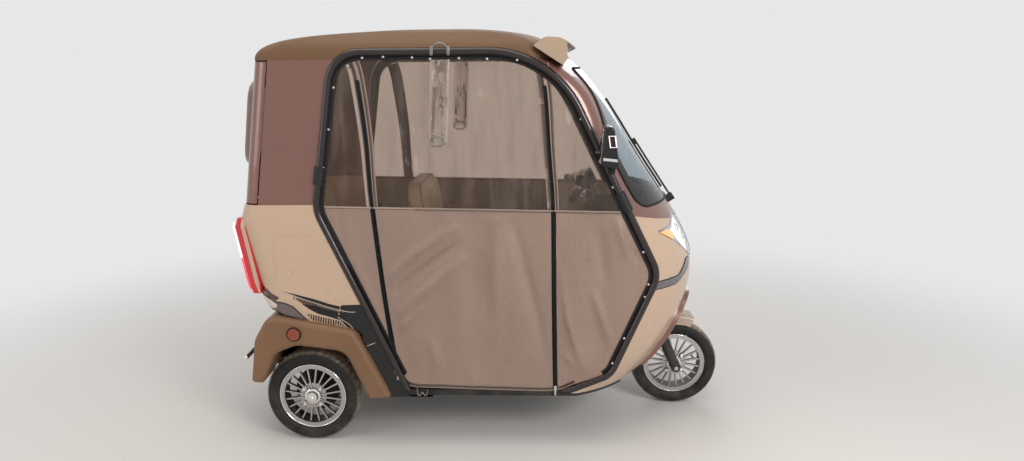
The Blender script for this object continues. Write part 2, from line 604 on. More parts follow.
class Shape:
    """A mesh in millimetres from the rear axle that bmesh operators shape into one piece."""

    def __init__(self) -> None:
        """Starts with nothing in the mesh."""
        self.bm = bmesh.new()

    def block(self, size: Sequence[float], matrix: Matrix, bevel: float = 0.0, segments: int = 2) -> None:
        """Adds a box with rounded edges.

        Args:
            size: its length along each of its own axes.
            matrix: its place and turn.
            bevel: the edges' width.
            segments: how many faces round an edge.
        """
        sized = matrix @ Matrix.Diagonal((*size, 1.0))
        made = bmesh.ops.create_cube(self.bm, size=1.0, matrix=sized)["verts"]
        if bevel:
            edges = list({e for v in made for e in v.link_edges})
            bmesh.ops.bevel(self.bm, geom=edges, offset=bevel, segments=segments, affect="EDGES", profile=0.5,
                            material=-1)

    def lathe(self, profile: Sequence[Flat], matrix: Matrix, steps: int) -> list[bmesh.types.BMFace]:
        """Turns a profile of (radius, height) points about its height axis.

        Args:
            profile: the points, from one end to the other; a radius of 0 closes an end.
            matrix: takes the local frame, turned about its Z axis, to its place.
            steps: how many faces go round.

        Returns:
            The faces made.
        """
        before = set(self.bm.faces)
        line = [self.bm.verts.new((r, 0.0, h)) for r, h in profile]
        edges = [self.bm.edges.new(pair) for pair in zip(line, line[1:])]
        bmesh.ops.spin(self.bm, geom=line + edges, cent=(0, 0, 0), axis=(0, 0, 1), angle=math.tau,
                       steps=steps, use_merge=True)
        made = [f for f in self.bm.faces if f not in before]
        verts = list({v for f in made for v in f.verts})
        bmesh.ops.remove_doubles(self.bm, verts=verts, dist=0.001)
        made = [f for f in self.bm.faces if f not in before]
        bmesh.ops.transform(self.bm, matrix=matrix, verts=list({v for f in made for v in f.verts}))
        return made

    def rod(self, start: Vector, end: Vector, radius: float, steps: int = 16, rounding: float = 1.0) -> None:
        """Adds a round bar between two points, with its end edges rounded."""
        length = (end - start).length
        turn = (end - start).to_track_quat("Z", "Y").to_matrix().to_4x4()
        round_off = min(rounding, radius * 0.5)
        profile = [(0, 0), (radius - round_off, 0), (radius, round_off), (radius, length - round_off),
                   (radius - round_off, length), (0.0, length)]
        self.lathe(profile, move(start) @ turn, steps)

    def face(self, points: Sequence[Sequence[float]]) -> bmesh.types.BMFace:
        """Adds one flat face."""
        return self.bm.faces.new([self.bm.verts.new(p) for p in points])

    def ribbon(self, rails: Sequence[Sequence[Vector]], closed: bool = False) -> None:
        """Bridges each rail of points to the next with a strip of faces."""
        for pair in zip(rails, rails[1:]):
            edges = []
            for rail in pair:
                verts = [self.bm.verts.new(p) for p in rail]
                ring = verts + verts[:1] if closed else verts
                edges += [self.bm.edges.new(ends) for ends in zip(ring, ring[1:])]
            bmesh.ops.bridge_loops(self.bm, edges=edges)

    def plate(self, outline: Sequence[Vector], depth: Vector, bevel: float = 0.0) -> None:
        """Adds a flat face and extrudes it into a plate.

        Args:
            outline: the face's corners in order.
            depth: how far and which way it is extruded.
            bevel: the width of its rounded edges.
        """
        grown = bmesh.ops.extrude_face_region(self.bm, geom=[self.face(outline)])["geom"]
        moved = [v for v in grown if isinstance(v, bmesh.types.BMVert)]
        bmesh.ops.translate(self.bm, vec=depth, verts=moved)
        if bevel:
            verts = {v for v in moved} | {e.other_vert(v) for v in moved for e in v.link_edges}
            edges = [e for e in {e for v in verts for e in v.link_edges} if e.calc_face_angle(0.0) > 0.5]
            bmesh.ops.bevel(self.bm, geom=edges, offset=bevel, segments=2, affect="EDGES", profile=0.5,
                            material=-1)

    def sweep(self, path: Sequence[Vector], radius: float, sides: int = 10) -> None:
        """Runs a round section along a path and closes its ends."""
        rings = []
        for i, point in enumerate(path):
            ahead = path[min(i + 1, len(path) - 1)] - path[max(i - 1, 0)]
            turn = ahead.to_track_quat("Z", "Y").to_matrix().to_4x4()
            ends = i in (0, len(path) - 1)
            ring = bmesh.ops.create_circle(self.bm, cap_ends=ends, segments=sides, radius=radius,
                                           matrix=move(point) @ turn)["verts"]
            edges = {e for v in ring for e in v.link_edges}
            rings.append([e for e in edges if all(v in ring for v in e.verts)])
        for one, other in zip(rings, rings[1:]):
            bmesh.ops.bridge_loops(self.bm, edges=one + other)

    def thicken(self, thickness: float) -> None:
        """Gives an open surface a wall."""
        bmesh.ops.recalc_face_normals(self.bm, faces=self.bm.faces)
        bmesh.ops.solidify(self.bm, geom=self.bm.faces[:], thickness=thickness)

    def elements(self) -> list[bmesh.types.BMVert | bmesh.types.BMEdge | bmesh.types.BMFace]:
        """Every vertex, edge and face."""
        return self.bm.verts[:] + self.bm.edges[:] + self.bm.faces[:]

    def both_sides(self) -> None:
        """Adds the mirror image on the vehicle's other side."""
        twin = bmesh.ops.duplicate(self.bm, geom=self.elements())["geom"]
        verts = [g for g in twin if isinstance(g, bmesh.types.BMVert)]
        faces = [g for g in twin if isinstance(g, bmesh.types.BMFace)]
        bmesh.ops.transform(self.bm, matrix=MIRROR, verts=verts)
        bmesh.ops.reverse_faces(self.bm, faces=faces)

    def piece(self, name: str, finish: Finish, slot: str, body: str = "body", smooth: float = 35.0,
              outward: bool = True) -> Item:
        """Turns the mesh into a finished piece that rides on a body.

        Args:
            name: the piece's name.
            finish: what it is made of.
            slot: the record's material slot it belongs to.
            body: the CAD body that it moves with.
            smooth: the angle in degrees up to which an edge is shaded round.
            outward: whether the normals are worked out again.

        Returns:
            The object, at the origin.
        """
        bmesh.ops.remove_doubles(self.bm, verts=self.bm.verts, dist=0.002)
        if outward:
            bmesh.ops.recalc_face_normals(self.bm, faces=self.bm.faces)
        self.bm.transform(place())
        for face in self.bm.faces:
            face.smooth = True
        for edge in self.bm.edges:
            edge.smooth = edge.calc_face_angle(0.0) < math.radians(smooth)
        mesh = bpy.data.meshes.new(name)
        self.bm.to_mesh(mesh)
        self.bm.free()
        mesh.materials.append(finish.material())
        made = add_object(name, mesh)
        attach(made, body)
        LOG.info("made %s, %d faces", name, len(mesh.polygons))
        return made


@dataclass(frozen=True)
class Outline:
    """A convex outline in the flat side plane, clockwise, as (x, z, corner radius)."""

    corners: tuple[Spot, ...]

    def normals(self) -> list[Vector]:
        """The outward normal of the run that starts at each corner."""
        runs = []
        for (x0, z0, _), (x1, z1, _) in zip(self.corners, self.corners[1:] + self.corners[:1]):
            runs.append(Vector((z0 - z1, x1 - x0)).normalized())
        return runs

    def arcs(self, inset: float) -> list[tuple[Vector, Vector, Vector, float]]:
        """Each corner's centre, its two normals and its radius, for the outline moved inwards."""
        found = []
        normals = self.normals()
        for i, (x, z, r) in enumerate(self.corners):
            one, other = normals[i - 1], normals[i]
            centre = Vector((x, z)) - (one + other) * (max(r, inset) / (1 + one.dot(other)))
            found.append((centre, one, other, max(r - inset, 0)))
        return found

    def loop(self, inset: float, step: float = 12.0) -> list[Flat]:
        """Points round the outline moved inwards, as many for every inset."""
        full, moved = self.arcs(0.0), self.arcs(inset)
        points: list[Flat] = []
        for i, (centre, one, other, r) in enumerate(moved):
            parts = max(1, math.ceil(math.degrees(one.angle(other)) / 6))
            points += [tuple(centre + one.slerp(other, k / parts) * r) for k in range(parts)]
            leave = centre + other * r
            after, first, _, next_r = moved[(i + 1) % len(moved)]
            length = (full[(i + 1) % len(full)][0] - full[i][0]).length
            count = max(1, math.ceil(length / step))
            points += [tuple(leave.lerp(after + first * next_r, k / count)) for k in range(count)]
        return points

    def planes(self, inset: float) -> list[tuple[Vector, Vector]]:
        """A point and an outward normal for each run and for short chords round each corner."""
        cuts = []
        for centre, one, other, r in self.arcs(inset):
            parts = max(1, math.ceil(math.degrees(one.angle(other)) / 6))
            for i in range(parts + 1):
                normal = one.slerp(other, i / parts)
                cuts.append((centre + normal * r, normal))
        return cuts

    def room(self, x: float, z: float) -> float:
        """How far a point lies inside the outline's runs, at the least."""
        spot = Vector((x, z))
        return min((Vector(corner[:2]) - spot).dot(n) for corner, n in zip(self.corners, self.normals()))


DOORWAY = Outline(((425, 231, 20), (66, 1010, 150), (158, 1629, 130), (1015, 1629, 400), (1450, 742, 120),
                   (1262, 318, 90), (1045, 231, 90)))


def smooth_path(points: Sequence[Flat], step: float = 10.0) -> list[Vector]:
    """A Catmull-Rom curve through flat points, sampled about every step."""
    knots = [Vector(p) for p in points]
    knots = [knots[0] * 2 - knots[1], *knots, knots[-1] * 2 - knots[-2]]
    line: list[Vector] = []
    for a, b, c, d in zip(knots, knots[1:], knots[2:], knots[3:]):
        count = max(1, round((c - b).length / step))
        for i in range(count):
            t = i / count
            line.append(0.5 * (2 * b + (c - a) * t + (2 * a - 5 * b + 4 * c - d) * t * t
                               + (3 * b - a - 3 * c + d) * t * t * t))
    return [*line, knots[-2]]


def smooth_step(value: float, low: float, high: float) -> float:
    """0 at low, 1 at high and an easy slope between them."""
    share = min(1.0, max(0.0, (value - low) / (high - low)))
    return share * share * (3.0 - 2.0 * share)


@dataclass(frozen=True)
class Crease:
    """A fold in cloth along a line of flat (x, z) points."""

    line: Line
    width: float
    rise: float
    sharp: bool = False

    def height(self, x: float, z: float) -> float:
        """How far the fold lifts the cloth at a point."""
        best, share = 1e9, 0.0
        for i, ((x0, z0), (x1, z1)) in enumerate(zip(self.line, self.line[1:])):
            dx, dz = x1 - x0, z1 - z0
            t = min(1.0, max(0.0, ((x - x0) * dx + (z - z0) * dz) / (dx * dx + dz * dz)))
            away = math.hypot(x - x0 - t * dx, z - z0 - t * dz)
            if away < best:
                best, share = away, (i + t) / (len(self.line) - 1)
        if best > 4.0 * self.width:
            return 0.0
        fade = math.sin(math.pi * min(1.0, max(0.0, 0.08 + 0.84 * share))) ** 0.7
        shape = math.exp(-best / self.width) if self.sharp else math.exp(-(best / self.width) ** 2)
        return self.rise * fade * shape


@dataclass
class SideCurtain:
    """One side's zip-up curtain: a film window sewn to a cloth skirt, with zips, binding and studs."""

    side: str = "right"
    doorway: Outline = DOORWAY
    edge: float = 13.0  # from the hoop's centreline to the cloth's edge
    joint: tuple[Flat, Flat] = ((85, 1026), (1325, 1001))
    hem: Line = ((330, 352), (377, 313), (426, 264), (552, 256), (803, 249), (1024, 247), (1116, 278),
                 (1290, 330))
    cell: float = 9.0
    depth: float = 2.4  # how deep the folds are against their written rise
    zips: tuple[Line, ...] = (
        ((240, 1591), (257, 1523), (283, 1290), (296, 1030), (334, 636), (377, 316)),
        ((975, 1580), (994, 1440), (1006, 1247), (1023, 1008), (1027, 638), (1033, 252)))
    zip_tops: Flat = (1524.0, 1500.0)
    studs: Line = ((163, 1494), (135, 1332), (106, 1179), (110, 902), (151, 815), (221, 671), (223, 1577),
                   (280, 1607), (362, 1610), (475, 1607), (545, 1601), (657, 1603), (766, 1599), (882, 1594),
                   (963, 1567), (1036, 1521), (1097, 1449), (1130, 1367), (1195, 1238), (1259, 1099),
                   (1384, 837), (1408, 703), (1395, 651), (1353, 543), (1314, 476), (1269, 368))
    creases: tuple[Crease, ...] = (Crease(((337, 716), (461, 832), (619, 938)), 20, 7),
                                   Crease(((359, 661), (570, 825), (644, 878)), 14, -6),
                                   Crease(((386, 578), (548, 716), (649, 811)), 22, 7),
                                   Crease(((394, 516), (478, 599)), 16, 5),
                                   Crease(((160, 1006), (164, 872)), 14, -4),
                                   Crease(((192, 838), (339, 481)), 18, 6),
                                   Crease(((789, 955), (791, 470)), 30, 7),
                                   Crease(((863, 955), (996, 399)), 22, -6),
                                   Crease(((1049, 772), (1077, 570), (1112, 450), (1154, 321)), 12, 9, True),
                                   Crease(((1057, 414), (1106, 364)), 9, 5, True),
                                   Crease(((1279, 975), (1322, 819)), 16, 6),
                                   Crease(((1341, 847), (1382, 792)), 14, -4),
                                   Crease(((1398, 682), (1373, 599)), 14, 4),
                                   Crease(((1184, 668), (1268, 429)), 18, 6),
                                   Crease(((520, 470), (560, 300)), 24, 5),
                                   Crease(((700, 820), (690, 400)), 40, -5),
                                   Crease(((1200, 940), (1240, 700)), 26, -5))
    film_folds: tuple[Crease, ...] = (
        Crease(((330, 1560), (420, 1200), (560, 1060)), 40, 8),
        Crease(((470, 1590), (500, 1300), (470, 1060)), 34, -7),
        Crease(((720, 1590), (700, 1320), (640, 1060)), 46, 9),
        Crease(((830, 1580), (860, 1300), (900, 1050)), 36, -7),
        Crease(((1060, 1480), (1070, 1250), (1090, 1030)), 30, 6),
        Crease(((160, 1500), (190, 1300), (150, 1080)), 30, 6), Crease(((1180, 1250), (1240, 1050)), 24, -5),
        Crease(((620, 1560), (590, 1330)), 26, 5, True))

    def away_from_zips(self, x: float, z: float) -> float:
        """The distance to the nearer zip, taken level."""
        found = []
        for line in self.zips:
            for (x0, z0), (x1, z1) in zip(line, line[1:]):
                if min(z0, z1) <= z <= max(z0, z1):
                    found.append(abs(x - x0 - (x1 - x0) * (z - z0) / (z1 - z0)))
        return min(found, default=200.0)

    def out(self, x: float, z: float) -> float:
        """How far the cloth stands out of the flat side plane."""
        held = smooth_step(self.doorway.room(x, z), self.edge, self.edge + 70.0)
        held *= 0.2 + 0.8 * smooth_step(self.away_from_zips(x, z), 12.0, 60.0)
        where = Vector((x, z, 0.0)) * 0.006
        height = 2.5 * noise.noise(where) + 1.2 * noise.noise(where * 3.1)
        folds = self.creases if z < self.join(x) else self.film_folds
        near_joint = smooth_step(abs(z - self.join(x)), 0.0, 45.0)
        height += near_joint * self.depth * sum(fold.height(x, z) for fold in folds)
        if z < self.join(x):
            height += near_joint * 3.6 * math.sin(x / 36.0 + z / 260.0 + 2.2 * noise.noise(where * 0.6))
        if 430.0 < x < 760.0 and z < 400.0:
            ends = smooth_step(x, 430.0, 500.0) * smooth_step(-x, -760.0, -690.0)
            height += 4.0 * math.sin((x - 430.0) * math.tau / 80.0) * smooth_step(-z, -380.0, -270.0) * ends
        return held * height

    def join(self, x: float) -> float:
        """The height of the joint between film and skirt."""
        (x0, z0), (x1, z1) = self.joint
        return z0 + (z1 - z0) * (x - x0) / (x1 - x0)

    def point(self, x: float, z: float, lift: float = 0.0) -> Vector:
        """A point of the cloth in the flat plane's frame, lifted off it."""
        return Vector((x, -self.out(x, z) - lift, z))

    def cloth(self, cuts: Sequence[tuple[Vector, Vector]], lift: float,
              thickness: float) -> tuple[Shape, float]:
        """A folded sheet inside some planes.

        Args:
            cuts: a flat point and an outward normal for each edge.
            lift: how far it lies outside the other cloth.
            thickness: its thickness.

        Returns:
            The shape, still in the flat plane's frame, and its flat area in square metres.
        """
        shape = Shape()
        count = round(1480.0 / self.cell)
        middle = move((750, 0, 940)) @ turned(90, "X")
        bmesh.ops.create_grid(shape.bm, x_segments=count, y_segments=count, size=740, matrix=middle)
        for (px, pz), (nx, nz) in cuts:
            bmesh.ops.bisect_plane(shape.bm, geom=shape.elements(),
                                   plane_co=(px, 0, pz), plane_no=(nx, 0, nz), clear_outer=True, dist=0.01)
        area = sum(face.calc_area() for face in shape.bm.faces) * MM * MM
        for vert in shape.bm.verts:
            vert.co = self.point(vert.co.x, vert.co.z, lift)
        shape.bm.faces.ensure_lookup_table()
        if shape.bm.faces[0].normal.y > 0:
            bmesh.ops.reverse_faces(shape.bm, faces=shape.bm.faces[:])
        bmesh.ops.solidify(shape.bm, geom=shape.bm.faces[:], thickness=thickness)
        return shape, area

    def strip(self, shape: Shape, line: Sequence[Vector], left: Callable[[float], float], lift: float,
              shift: float = 0.0, lanes: int = 2) -> None:
        """Lays a band of half width left(z) along a flat line, following the folds.

        Args:
            shape: takes the band.
            line: the band's middle.
            left: its half width at a height.
            lift: how far it lies off the cloth.
            shift: how far its middle is moved sideways.
            lanes: how many strips side by side.
        """
        rails: list[list[Vector]] = [[] for _ in range(lanes + 1)]
        for i, point in enumerate(line):
            ahead = (line[min(i + 1, len(line) - 1)] - line[max(i - 1, 0)]).normalized()
            across = Vector((-ahead.y, ahead.x))
            for k, rail in enumerate(rails):
                x, z = point + across * (shift + left(point.y) * (2 * k / lanes - 1))
                rail.append(self.point(x, z, lift))
        shape.ribbon(rails)

    def sew(self, shape: Shape, word: str, finish: Finish, slot: str, smooth: float = 60.0,
            outward: bool = True) -> Item:
        """Leans a shape into its body side and makes it a piece.

        Args:
            shape: the shape in the flat plane's frame.
            word: the piece's name without its side.
            finish: what it is made of.
            slot: the record's material slot.
            smooth: the angle in degrees up to which an edge is shaded round.
            outward: whether the normals are worked out again.

        Returns:
            The piece.
        """
        shape.bm.transform(place().inverted() @ leaned())
        if self.side == "left":
            shape.bm.transform(MIRROR)
            bmesh.ops.reverse_faces(shape.bm, faces=shape.bm.faces[:])
        return shape.piece(f"{word}_{self.side}", finish, slot, smooth=smooth, outward=outward)

    def window(self, trims: Sequence[Item]) -> Item:
        """The clear film, tucked behind the skirt's upper edge."""
        (x0, z0), (x1, z1) = self.joint
        down = Vector((z1 - z0, x0 - x1)).normalized()
        cuts = [(Vector((x0, z0 - 12)), down), *self.doorway.planes(self.edge)]
        shape, area = self.cloth(cuts, -1.0, -0.5)
        film = self.sew(shape, "film_window", CLEAR_FILM, "curtain_film", 80, False)
        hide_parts("curtain_windows")
        return film

    def skirt(self, trims: Sequence[Item]) -> Item:
        """The cloth skirt between the joint and the hem."""
        (x0, z0), (x1, z1) = self.joint
        up = Vector((z0 - z1, x1 - x0)).normalized()
        cuts = [(Vector((x0, z0)), up), *self.doorway.planes(self.edge)]
        for a, b in zip(self.hem, self.hem[1:]):
            cuts.append((Vector(a), Vector((b[1] - a[1], a[0] - b[0])).normalized()))
        shape, area = self.cloth(cuts, 0.5, 1.0)
        skirt = self.sew(shape, "cloth_skirt", CLOTH, "curtain_pvc", 80, False)
        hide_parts("curtain_skirts")
        return skirt

    def tapes(self) -> Item:
        """The pale tapes that the zips are sewn to, wide on the film and narrow on the skirt."""
        shape = Shape()
        for line in self.zips:
            path = smooth_path(line)
            above = [p for p in path if p.y > self.join(p.x) - 2.0]
            below = [p for p in path if p.y < self.join(p.x) + 2.0]
            self.strip(shape, above, lambda z: 23.0 + 5.5 * smooth_step(z, 1010.0, 1500.0), 0.6, lanes=4)
            self.strip(shape, below, lambda z: 13.5, 1.5, lanes=2)
        shape.thicken(0.7)
        return self.sew(shape, "zip_tapes", TAPE, "curtain_pvc")

    def zippers(self) -> Item:
        """The black zips: two flat stringers with a row of interlocked coil teeth."""
        shape = Shape()
        for line, top in zip(self.zips, self.zip_tops):
            path = smooth_path(line, 6.0)
            above = [p for p in path if self.join(p.x) - 2.0 < p.y < top]
            below = [p for p in path if p.y < self.join(p.x) + 2.0]
            self.strip(shape, above,
                       lambda z: 7.5 * min(1.0, math.sqrt(max(0.02, (top + 4.0 - z) / 12.0))), 1.5)
            self.strip(shape, below, lambda z: 10.0, 2.3)
        shape.thicken(0.8)
        for line, top in zip(self.zips, self.zip_tops):
            path = [p for p in smooth_path(line, 3.2) if p.y < top - 4.0]
            for i, (p, q) in enumerate(zip(path, path[1:])):
                ahead = (q - p).normalized()
                lift = 2.6 if p.y > self.join(p.x) else 3.4
                turn = Matrix.Rotation(-math.atan2(ahead.y, ahead.x), 4, "Y")
                swing = 1.1 if i % 2 else -1.1
                at_point = self.point(p.x - ahead.y * swing, p.y + ahead.x * swing, lift)
                shape.block((2.3, 1.3, 5), move(at_point) @ turn)
        return self.sew(shape, "coil_zips", ZIP_BLACK, "black_plastic", 30)

    def binding(self) -> Item:
        """The black ribbon along the hoop that the studs go through."""
        shape = Shape()
        loops = [[p for p in zip(self.doorway.loop(inset), self.doorway.loop(0)) if p[1][1] > 305]
                 for inset in (12.0, 21.0, 30.0)]
        lifts = (1.8, 2.6, 1.8)
        shape.ribbon([[self.point(x, z, lift) for (x, z), _ in loop] for loop, lift in zip(loops, lifts)])
        shape.thicken(1.2)
        return self.sew(shape, "edge_binding", BINDING, "black_plastic")

    def fasteners(self) -> Item:
        """Domed studs round the edge, and the zips' pulls."""
        shape = Shape()
        upright = turned(90, "X")
        dome = ((5.4, 0), (5.4, 0.8), (4.4, 1), (3.8, 2), (2.4, 2.8), (0, 3.1))
        for x, z in self.studs:
            shape.lathe(dome, move(self.point(x, z, 2.6)) @ upright, 14)
        for line in self.zips:
            x, z = line[-1]
            shape.block((13, 4, 16), move(self.point(x, z + 10, 5)), 1.5)
            shape.block((8, 1.8, 30), move(self.point(x, z - 8, 7)), 0.8)
        return self.sew(shape, "studs", STEEL, "steel", 40)

    def welts(self) -> Item:
        """The sewn welt over the joint and the doubled hem at the foot."""
        shape = Shape()
        xs = [x for x in range(100, 1311, 10) if self.doorway.room(x, self.join(x)) > self.edge + 4.0]
        self.strip(shape, [Vector((x, self.join(x) - 6.0)) for x in xs], lambda z: 7.0, 1.8)
        low = smooth_path(self.hem[1:-1], 12.0)
        self.strip(shape, low, lambda z: 10, 1.8, shift=11)
        shape.thicken(0.9)
        return self.sew(shape, "welt_and_hem", WELT, "curtain_pvc")

    def strap(self) -> Item:
        """The clear roll-up strap that hangs from the hoop."""
        shape = Shape()
        rails: list[list[Vector]] = [[], [], [], [], []]
        for i in range(21):
            middle = Vector((584.0 - 0.05 * 16.0 * i, 1598.0 - 16.0 * i))
            bow = 9.0 + 5.0 * math.sin(i * 0.45)
            for across, rail in zip((-1.0, -0.5, 0.0, 0.5, 1.0), rails):
                rail.append(self.point(middle.x + 38.0 * across, middle.y, bow - 4.0 * across * across))
        shape.ribbon(rails)
        shape.thicken(1.2)
        return self.sew(shape, "rolling_strap", STRAP_FILM, "curtain_film")

    def fittings(self) -> Item:
        """The strap's oval ring and rivets, the holder on the hoop and the hook at the floor."""
        shape = Shape()
        angles = [math.tau * i / 28 for i in range(29)]
        ring = [self.point(566 + 30 * math.cos(a), 1283 + 19 * math.sin(a), 13) for a in angles]
        shape.sweep(ring, 3.2, 8)
        upright = turned(90, "X")
        for x in (548.0, 590.0):
            shape.lathe(((6, 0), (6, 1), (4, 2.6), (0, 3)),
                        move(self.point(x, 1312.0, 11.0)) @ upright, 14)
        for x in (552.0, 617.0):
            shape.block((12, 34, 5), move((x, 0, 1645.5)), 1.5)
            shape.block((12, 5, 34), move((x, -16.5, 1630)), 1.5)
        arch = [Vector((552 + 65 * i / 16, -16.5, 1640 + 20 * math.sin(math.pi * i / 16))) for i in range(17)]
        shape.sweep(arch, 3.4, 8)
        hook = smooth_path(((456, 262), (459, 232), (468, 226), (478, 240), (488, 226),
                            (497, 232), (501, 250)), 4)
        shape.sweep([Vector((p.x, -9, p.y)) for p in hook], 2.6, 8)
        return self.sew(shape, "strap_fittings", DARK_STEEL, "steel", 50)

    def build(self) -> None:
        """Makes the whole curtain."""
        top = [self.strap(), self.fittings()]
        trims = [self.tapes(), self.zippers(), self.binding(), self.fasteners(), self.welts()]
        self.window(top)
        self.skirt(trims)


@dataclass
class Wheel:
    """One wheel's tyre, hub cap, nuts and valve on its spoked rim."""

    axle: Axle
    body: str
    node: str
    steps: int = 180
    wall: Line = ((130.5, 28.4), (144.3, 31.6), (146.6, 36.8), (149.5, 38.6), (151, 38.4), (153, 41.6),
                  (158, 44.2), (166, 45), (174, 44.9), (181, 43.4), (187.5, 40.8), (192, 37.4), (195, 33.6))
    tread: Line = ((197, 29.5), (198.3, 23.4), (194.6, 22.6), (194.6, 19.8), (198.7, 19), (199.5, 9.2),
                   (195.6, 8.4), (195.6, 5.6), (199.7, 4.8), (200, 0))

    @property
    def word(self) -> str:
        """The wheel's name."""
        return self.axle.name.lower()

    def centre(self) -> Vector:
        """The wheel's centre in millimetres."""
        return Vector((self.axle.value[0], self.axle.value[1], TYRE_RADIUS))

    def frame(self, outward: bool = True) -> Matrix:
        """Takes Z to the wheel's axis, out of its face where outward is set."""
        sign = self.axle.value[2] if outward else 1.0
        return move(self.centre()) @ turned(-90 * sign, "X")

    def tyre(self) -> Item:
        """The tyre, with grooves round its tread and cuts across its shoulders."""
        shape = Shape()
        half = [*self.wall, *self.tread]
        ring = [(r, -h) for r, h in half] + [(r, h) for r, h in reversed(half[:-1])]
        faces = shape.lathe([*ring, ring[0]], self.frame(False), self.steps)
        bmesh.ops.recalc_face_normals(shape.bm, faces=faces)
        cuts = []
        for face in faces:
            middle = face.calc_center_median() - self.centre()
            radius = math.hypot(middle.x, middle.z)
            turn = math.floor(math.atan2(middle.z, middle.x) / math.tau * self.steps)
            turn += 2 if middle.y > 0 else 0
            shoulder = radius > 193.0 and 24.0 < abs(middle.y) < 36.5
            rib = radius > 199.0 and 9.2 < abs(middle.y) < 19.0
            if (shoulder and turn % 4 == 0) or (rib and turn % 5 == 0):
                cuts.append(face)
        bmesh.ops.inset_individual(shape.bm, faces=cuts, thickness=1.3, depth=-3.0)
        finish = TyreRubber(f"{self.word}_tyre_rubber", (0.011, 0.011, 0.011), 0.55, specular=0.3,
                            axle=self.axle, wear=0.0, dust=0.12)
        tyre = shape.piece(f"{self.word}_tyre_tread", finish, "tyre", self.body, 40)
        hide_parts(self.node)
        return tyre

    def trim(self) -> Item:
        """The bright rim lip, the hub ring, the lug nuts and, at the rear, the axle nut."""
        shape = Shape()
        frame = self.frame()
        shape.lathe(((137.4, 34.8), (138.4, 37), (140, 38.2), (142.2, 38), (143.3, 36.2), (143.6, 34),
                     (142, 33), (137.4, 33), (137.4, 34.8)), frame, 120)
        shape.lathe(((22.5, 38), (22.5, 42), (24.5, 43.4), (30.5, 43), (33.5, 41), (34.5, 38),
                     (22.5, 38.0)), frame, 48)
        for i in range(4):
            angle = math.tau * (i + 0.5) / 4
            spot = move((48 * math.cos(angle), 48 * math.sin(angle), 0))
            nut = ((0, 36), (10.5, 36), (10.5, 38.2), (8.6, 39), (8.6, 45), (7.2, 46.6), (0, 47.2))
            shape.lathe(nut, frame @ spot, 6)
        if self.axle is not Axle.FRONT:
            shape.lathe(((0, 50), (19.5, 50), (19.5, 51.8), (0, 51.8)), frame, 32)
            shape.lathe(((0, 51.8), (14.5, 51.8), (14.5, 60), (12.8, 61.6), (0, 61.6)), frame, 6)
            shape.lathe(((8, 61), (8, 67), (6.6, 68.4), (0, 68.4)), frame, 20)
        return shape.piece(f"{self.word}_wheel_brightwork", CHROME, "alloy", self.body, 30)

    def valve(self) -> Item:
        """The rubber valve stem with its cap."""
        shape = Shape()
        stem = ((5.5, -8), (5.2, 2), (3.6, 5), (3.3, 22), (4.2, 22.5), (4.2, 32), (2.8, 33.5), (0, 33.5))
        lean = turned(38, "Y") @ move((120, 0, 12)) @ turned(-35, "Y")
        shape.lathe(stem, self.frame() @ lean, 16)
        return shape.piece(f"{self.word}_valve", RUBBER, "tyre", self.body, 40)

    def build(self) -> None:
        """Makes the wheel's pieces."""
        self.tyre()
        self.trim()
        self.valve()


